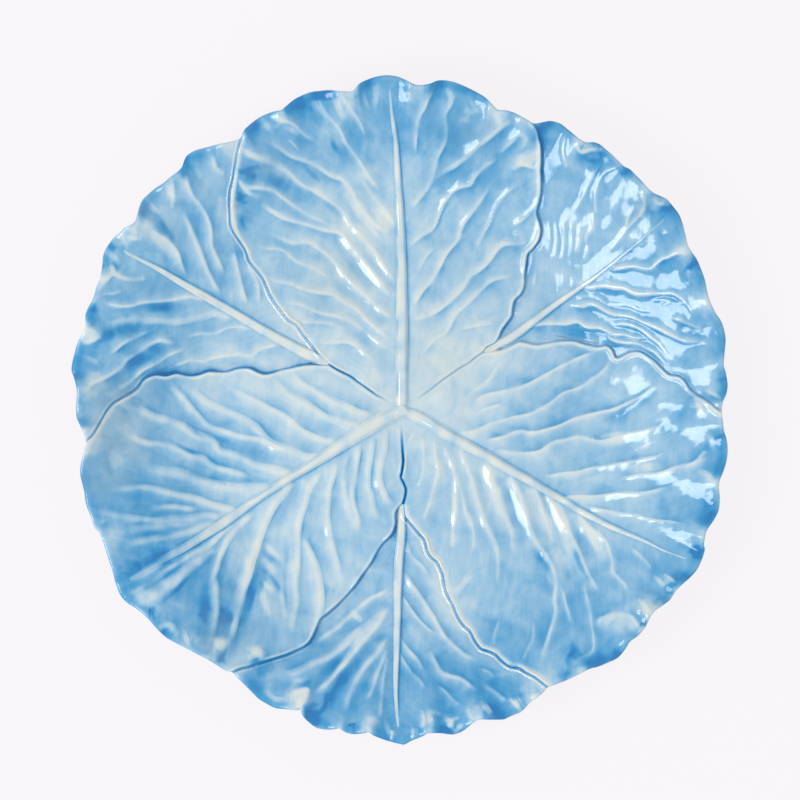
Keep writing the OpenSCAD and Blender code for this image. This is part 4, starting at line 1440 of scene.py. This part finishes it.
# %% [markdown]
# The crown is where three midribs run together. A Boolean union of their ends would leave creases
# between them, so a disc of rings round the heart is raised by the three ribs at once, with the
# corners between them filled in as the clay does.

# %% Crown
CROWN_R, CROWN_LOW = 9.0, 1.2
CROWN_RINGS, CROWN_SPOKES = 30 // COARSE + 4, 120 // COARSE


def crown_piece():
    """The raised three-armed heart of the plate."""
    radii = CROWN_R * np.linspace(0, 1, CROWN_RINGS + 1)[1:]
    spokes = np.linspace(0, 2 * math.pi, CROWN_SPOKES + 1)[:-1]
    x = np.concatenate([[heart[0]], (heart[0] + radii[:, None] * np.cos(spokes)).ravel()])
    y = np.concatenate([[heart[1]], (heart[1] + radii[:, None] * np.sin(spokes)).ravel()])
    # the web is 1 on a rib, and nearly so in a corner between two of them
    web, leaf_h = 0, np.zeros(x.shape)
    for leaf in INNER:
        d, _, _, at = beside(midrib_lines[leaf][0], x, y, 20)
        web = web + np.exp(-(d / (0.8 * rib_half(leaf, at))) ** 2 * 2.2)
        leaf_h = np.maximum(leaf_h, relief(leaf, x, y)[0])
    web = np.clip(web, 0, 1.25)
    r = np.hypot(x - heart[0], y - heart[1])
    over = RIB_H * web ** 0.9 * 0.92 - 0.14 - 0.35 * ease((r - 6) / 3)
    face = dish(np.hypot(x, y))
    points = np.vstack([np.column_stack([x, y, face + leaf_h * 0.98 + over]),
                        np.column_stack([x, y, face - CROWN_LOW])])
    n, m, under = CROWN_RINGS, CROWN_SPOKES, len(x)

    def ring(i, c):
        """Number of a ring's point, going round past the last to the first again."""
        return 1 + i * m + c % m

    faces = [[0, ring(0, c), ring(0, c + 1)] for c in range(m)]
    faces += [[ring(i, c), ring(i + 1, c), ring(i + 1, c + 1), ring(i, c + 1)] for i in range(n - 1)
              for c in range(m)]
    faces += [[under + v for v in f[::-1]] for f in faces]
    faces += [[ring(n - 1, c), under + ring(n - 1, c), under + ring(n - 1, c + 1), ring(n - 1, c + 1)]
              for c in range(m)]
    glaze = np.concatenate([0.14 + 0.18 * (1 - np.clip(web, 0, 1)), np.full(under, INNER_GLAZE)])
    return mesh_piece("crown_glazed", points, faces, glaze, points, np.full(len(points), 0.5))


crown = crown_piece()

# %% [markdown]
# The finish is a translucent majolica glaze over cream earthenware: glass, so it is smooth and
# mirrors the windows, with a colour that goes from cream on the ridges through sky blue to cobalt in
# the pools. First come the helpers that every material here is made with.

# %% Colours and nodes


def colour(code):
    """An sRGB hex value as linear red, green, blue and alpha."""
    parts = [int(code[i:i + 2], 16) / 255 for i in (1, 3, 5)]
    return tuple(p / 12.92 if p <= 0.04045 else ((p + 0.055) / 1.055) ** 2.4 for p in parts) + (1.0,)


def node(tree, kind, settings=None, links=None):
    """A node with its settings and input values, and links given as input: (node, output)."""
    made = tree.nodes.new(kind)
    for key, value in (settings or {}).items():
        if isinstance(key, int) or key in made.inputs.keys():
            made.inputs[key].default_value = value
        else:
            setattr(made, key, value)
    for key, (source, out) in (links or {}).items():
        tree.links.new(source.outputs[out], made.inputs[key])
    return made


def material(name):
    """A material of that name with no nodes yet, and its node tree."""
    made = bpy.data.materials.new(name)
    made.use_nodes = True
    made.node_tree.nodes.clear()
    return made, made.node_tree


def swells(count, over):
    """The scale of a pattern with so many swells in so many millimetres, on coordinates in metres."""
    return count * 1000 / over


print("half-way grey as linear light:", round(colour("#808080")[0], 3))

# %% [markdown]
# Three patterns make the glaze uneven: brush marks, cloudy patches about 13 mm wide, and a fine
# upright streaking from when the wet plate stood on edge to drain. They shift its thickness before
# the ramp turns that into a colour, so cream and blue stay in step. Greyed patches are mixed in
# after. The relief of the finish itself is slight: the ripple of the brush, and the peel of fired
# glass. A clear coat over it gives the sharp window reflections, and the body below a softer sheen.

# %% Majolica glaze
GLAZE_STOPS = [(0.0, "#DEE3DC"), (0.14, "#CDDDE2"), (0.30, "#B1CFE1"), (0.46, "#91BFDD"),
               (0.62, "#69AAD4"), (0.80, "#3096CC"), (1.0, "#007ABC")]
AGED = "#A3B4B6"
BRUSHED, CLOUDED, STREAKED = 0.12, 0.46, 0.12   # how much each pattern shifts the thickness
MARKS = 11 / 20                                 # brush marks to a mm, as the flow attribute is in mm
RIPPLES = 1 / 5
CLOUDS, PEEL = swells(3, 40), swells(7, 25)
STREAKS = (swells(9, 10), swells(13, 100), swells(13, 100))
PEEL_HIGH = 0.00022                             # metres


def majolica_glaze():
    """The glaze of the leaves, midribs and crown."""
    made, tree = material("majolica_glaze")
    where = node(tree, "ShaderNodeTexCoord")
    thick, grey, flow, brush = [node(tree, "ShaderNodeAttribute", {"attribute_name": name})
                                for name in ("glaze", "grey", "flow", "brush")]
    brushed = node(tree, "ShaderNodeTexNoise", {"Scale": MARKS, "Detail": 4.0, "Roughness": 0.55},
                   {"Vector": (flow, "Vector")})
    clouds = node(tree, "ShaderNodeTexNoise",
                  {"Scale": CLOUDS, "Detail": 6.0, "Roughness": 0.68, "Distortion": 1.0},
                  {"Vector": (where, "Object")})
    upright = node(tree, "ShaderNodeMapping", {"Scale": STREAKS}, {"Vector": (where, "Object")})
    streaks = node(tree, "ShaderNodeTexNoise", {"Scale": 1.0, "Detail": 3.0, "Roughness": 0.65},
                   {"Vector": (upright, "Vector")})
    last = (thick, "Fac")
    for noise, amount in ((brushed, BRUSHED), (clouds, CLOUDED), (streaks, STREAKED)):
        centred = node(tree, "ShaderNodeMath", {"operation": "SUBTRACT", 1: 0.5}, {0: (noise, "Fac")})
        if noise is brushed:
            centred = node(tree, "ShaderNodeMath", {"operation": "MULTIPLY"},
                           {0: (centred, "Value"), 1: (brush, "Fac")})
        last = (node(tree, "ShaderNodeMath", {"operation": "MULTIPLY_ADD", 1: amount},
                     {0: (centred, "Value"), 2: last}), "Value")
    tone = node(tree, "ShaderNodeValToRGB", {}, {"Fac": last})
    ramp = tone.color_ramp
    while len(ramp.elements) < len(GLAZE_STOPS):
        ramp.elements.new(0.5)
    for stop, (place, code) in zip(ramp.elements, GLAZE_STOPS):
        stop.position, stop.color = place, colour(code)
    patchy = node(tree, "ShaderNodeMath", {"operation": "MULTIPLY"}, {0: (grey, "Fac"), 1: (clouds, "Fac")})
    aged = node(tree, "ShaderNodeMix", {"data_type": "RGBA", 7: colour(AGED)},
                {0: (patchy, "Value"), 6: (tone, "Color")})
    ripple = node(tree, "ShaderNodeTexNoise", {"Scale": RIPPLES, "Detail": 2.0, "Roughness": 0.4},
                  {"Vector": (flow, "Vector")})
    ripple = node(tree, "ShaderNodeMath", {"operation": "MULTIPLY"}, {0: (ripple, "Fac"), 1: (brush, "Fac")})
    peel = node(tree, "ShaderNodeTexNoise", {"Scale": PEEL, "Detail": 0.0}, {"Vector": (where, "Object")})
    both = node(tree, "ShaderNodeMath", {"operation": "MULTIPLY_ADD", 1: 2.0},
                {0: (ripple, "Value"), 2: (peel, "Fac")})
    bump = node(tree, "ShaderNodeBump", {"Strength": 0.4, "Distance": PEEL_HIGH},
                {"Height": (both, "Value")})
    shader = node(tree, "ShaderNodeBsdfPrincipled",
                  {"Roughness": 0.12, "IOR": 1.45, "Coat Weight": 0.35, "Coat Roughness": 0.03,
                   "Coat IOR": 1.5},
                  {"Base Color": (aged, 2), "Normal": (bump, "Normal")})
    node(tree, "ShaderNodeOutputMaterial", {}, {"Surface": (shader, "BSDF")})
    print(made.name, "nodes:", len(tree.nodes))
    return made


glaze_material = majolica_glaze()

# %% [markdown]
# The foot ring has the same glaze, which lies evenly there because nothing is modelled on it: a soft
# mottle of two blues in patches about 8 mm wide, a little less glassy than the face.

# %% Glaze of the foot
FOOT_STOPS = [(0.3, "#8DBFE2"), (0.75, "#6BA9D6")]
FOOT_PATCHES = swells(3, 25)


def foot_material():
    """The glaze of the foot ring."""
    made, tree = material("majolica_glaze_foot")
    where = node(tree, "ShaderNodeTexCoord")
    mottle = node(tree, "ShaderNodeTexNoise", {"Scale": FOOT_PATCHES, "Detail": 4.0},
                  {"Vector": (where, "Object")})
    tone = node(tree, "ShaderNodeValToRGB", {}, {"Fac": (mottle, "Fac")})
    for stop, (place, code) in zip(tone.color_ramp.elements, FOOT_STOPS):
        stop.position, stop.color = place, colour(code)
    shader = node(tree, "ShaderNodeBsdfPrincipled",
                  {"Roughness": 0.18, "IOR": 1.5, "Coat Weight": 0.5, "Coat Roughness": 0.05},
                  {"Base Color": (tone, "Color")})
    node(tree, "ShaderNodeOutputMaterial", {}, {"Surface": (shader, "BSDF")})
    print(made.name, "nodes:", len(tree.nodes))
    return made


# %% [markdown]
# Every piece gets its finish, is shaded smooth except where it turns sharply, rides on the plate's
# one body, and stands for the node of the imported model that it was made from. The foot ring's node
# has the right shape already, so it stays and only gets its glaze.

# %% Finish and place the pieces
SHARP = math.radians(55)


def finish_piece(piece, slot, *nodes):
    """Glaze and smooth a piece, say what it rides on, and hide the nodes that it stands for. slot is not
    used.
    """
    piece.data.materials.append(glaze_material)
    bpy.ops.object.select_all(action="DESELECT")
    piece.select_set(True)
    bpy.context.view_layer.objects.active = piece
    bpy.ops.object.shade_smooth_by_angle(angle=SHARP)
    piece.select_set(False)
    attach(piece, "root")
    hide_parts(*nodes)


for leaf, piece in leaves.items():
    finish_piece(piece, "blue_glaze", "leaf_" + leaf)
for leaf, piece in ribs.items():
    finish_piece(piece, "thin_glaze", "midrib_" + leaf)
finish_piece(crown, "thin_glaze", "crown")

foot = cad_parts["foot_ring"]
foot.data.materials.clear()
foot.data.materials.append(foot_material())
print("pieces with a finish:", len(leaves) + len(ribs) + 2)

# %% [markdown]
# The photograph was taken straight from above on white. A long lens keeps the rim and the well at
# nearly the same scale, as in the picture. An orthographic camera would make them quite the same,
# but then every reflection would come from one direction, and the highlights would look flat.

# %% Camera
LENS, SENSOR = 300, 36
PICTURE_MIDDLE = 400                            # in squares of the drawing, as the picture is 800 wide
RIM_HEIGHT = 27.2                               # mm over the floor, where the drawing has its size
camera_data = bpy.data.cameras.new("camera")
camera_data.lens, camera_data.sensor_width = LENS, SENSOR
camera_data.clip_start, camera_data.clip_end = 0.05, 20
camera = bpy.data.objects.new("camera", camera_data)
bpy.context.collection.objects.link(camera)
camera.location = (0, (CENTRE[1] - PICTURE_MIDDLE) * SQUARE / 1000,
                   (PICTURE_MIDDLE * SQUARE / (SENSOR / 2 / LENS) + RIM_HEIGHT) / 1000)
bpy.context.scene.camera = camera
print("camera, m over the floor:", round(camera.location.z, 3))

# %% [markdown]
# One big soft box to the left, a little towards the picture's bottom edge, and white walls all round.
# The box makes the window-shaped highlights on the folds that face it. A sun lamp would make only
# pinpoints there, because a gloss shows a lamp at its size.

# %% Light
KEY_TURN, KEY_UP = math.radians(202), math.radians(50)
KEY_FAR, KEY_SIZE, KEY_GLOW = 1.5, (0.5, 0.7), 7.5
key_data = bpy.data.lights.new("soft_box", "AREA")
key_data.shape, key_data.size, key_data.size_y = "RECTANGLE", *KEY_SIZE
key_data.energy = KEY_GLOW * math.pi * KEY_SIZE[0] * KEY_SIZE[1]
key = bpy.data.objects.new("soft_box", key_data)
bpy.context.collection.objects.link(key)
key.location = (KEY_FAR * math.cos(KEY_UP) * math.cos(KEY_TURN),
                KEY_FAR * math.cos(KEY_UP) * math.sin(KEY_TURN), KEY_FAR * math.sin(KEY_UP))
key.rotation_euler = (-key.location).to_track_quat("-Z", "Y").to_euler()
print("soft box at, m:", [round(v, 2) for v in key.location], "watts:", round(key_data.energy, 1))

# %% [markdown]
# The room is plain white. Rays of the camera, and those that glass mirrors or lets through, see the
# pale backdrop instead, so that the picture's ground stays as bright as the photograph's while the
# light on the plate stays mild.

# %% Room
ROOM, BACKDROP = 0.76, colour("#FAF7FA")
world = bpy.data.worlds.new("room")
bpy.context.scene.world = world
world.use_nodes = True
world.node_tree.nodes.clear()
sky = world.node_tree


def straight(tree):
    """A node that gives 1 for rays of the camera and for mirrored and refracted ones."""
    ray = node(tree, "ShaderNodeLightPath")
    some = node(tree, "ShaderNodeMath", {"operation": "MAXIMUM"},
                {0: (ray, "Is Glossy Ray"), 1: (ray, "Is Transmission Ray")})
    return node(tree, "ShaderNodeMath", {"operation": "MAXIMUM"},
                {0: (ray, "Is Camera Ray"), 1: (some, "Value")})


ray = straight(sky)
room = node(sky, "ShaderNodeBackground", {"Color": (1, 1, 1, 1), "Strength": ROOM})
backdrop = node(sky, "ShaderNodeBackground", {"Color": BACKDROP, "Strength": 1.0})
seen = node(sky, "ShaderNodeMixShader", {}, {"Fac": (ray, "Value"), 1: (room, "Background"),
                                             2: (backdrop, "Background")})
node(sky, "ShaderNodeOutputWorld", {}, {"Surface": (seen, "Shader")})
print(world.name, "nodes:", len(sky.nodes))

# %% [markdown]
# The plate stands on a sweep of white paper. Most of what the camera sees of it is lit paper, and
# the rest is matt, which keeps the plate's soft shadow. It lies a hair under the foot, so that the
# two faces don't flicker.

# %% Paper floor
FLOOR_SIZE, FLOOR_GAP = 6, 0.0001
FLOOR_GLOW = 0.9
bpy.ops.mesh.primitive_plane_add(size=FLOOR_SIZE, location=(0, 0, -FLOOR_GAP))
floor = bpy.context.object
floor.name = "floor"
paper, tree = material("paper_sweep")
share = node(tree, "ShaderNodeMath", {"operation": "MULTIPLY", 1: FLOOR_GLOW},
             {0: (straight(tree), "Value")})
matt = node(tree, "ShaderNodeBsdfDiffuse", {"Color": colour("#F2F0F2")})
glow = node(tree, "ShaderNodeEmission", {"Color": BACKDROP, "Strength": 1.0})
seen = node(tree, "ShaderNodeMixShader", {}, {"Fac": (share, "Value"), 1: (matt, "BSDF"),
                                              2: (glow, "Emission")})
node(tree, "ShaderNodeOutputMaterial", {}, {"Surface": (seen, "Shader")})
floor.data.materials.append(paper)

bpy.context.scene.view_settings.view_transform = "Standard"
print(paper.name, "nodes:", len(tree.nodes))
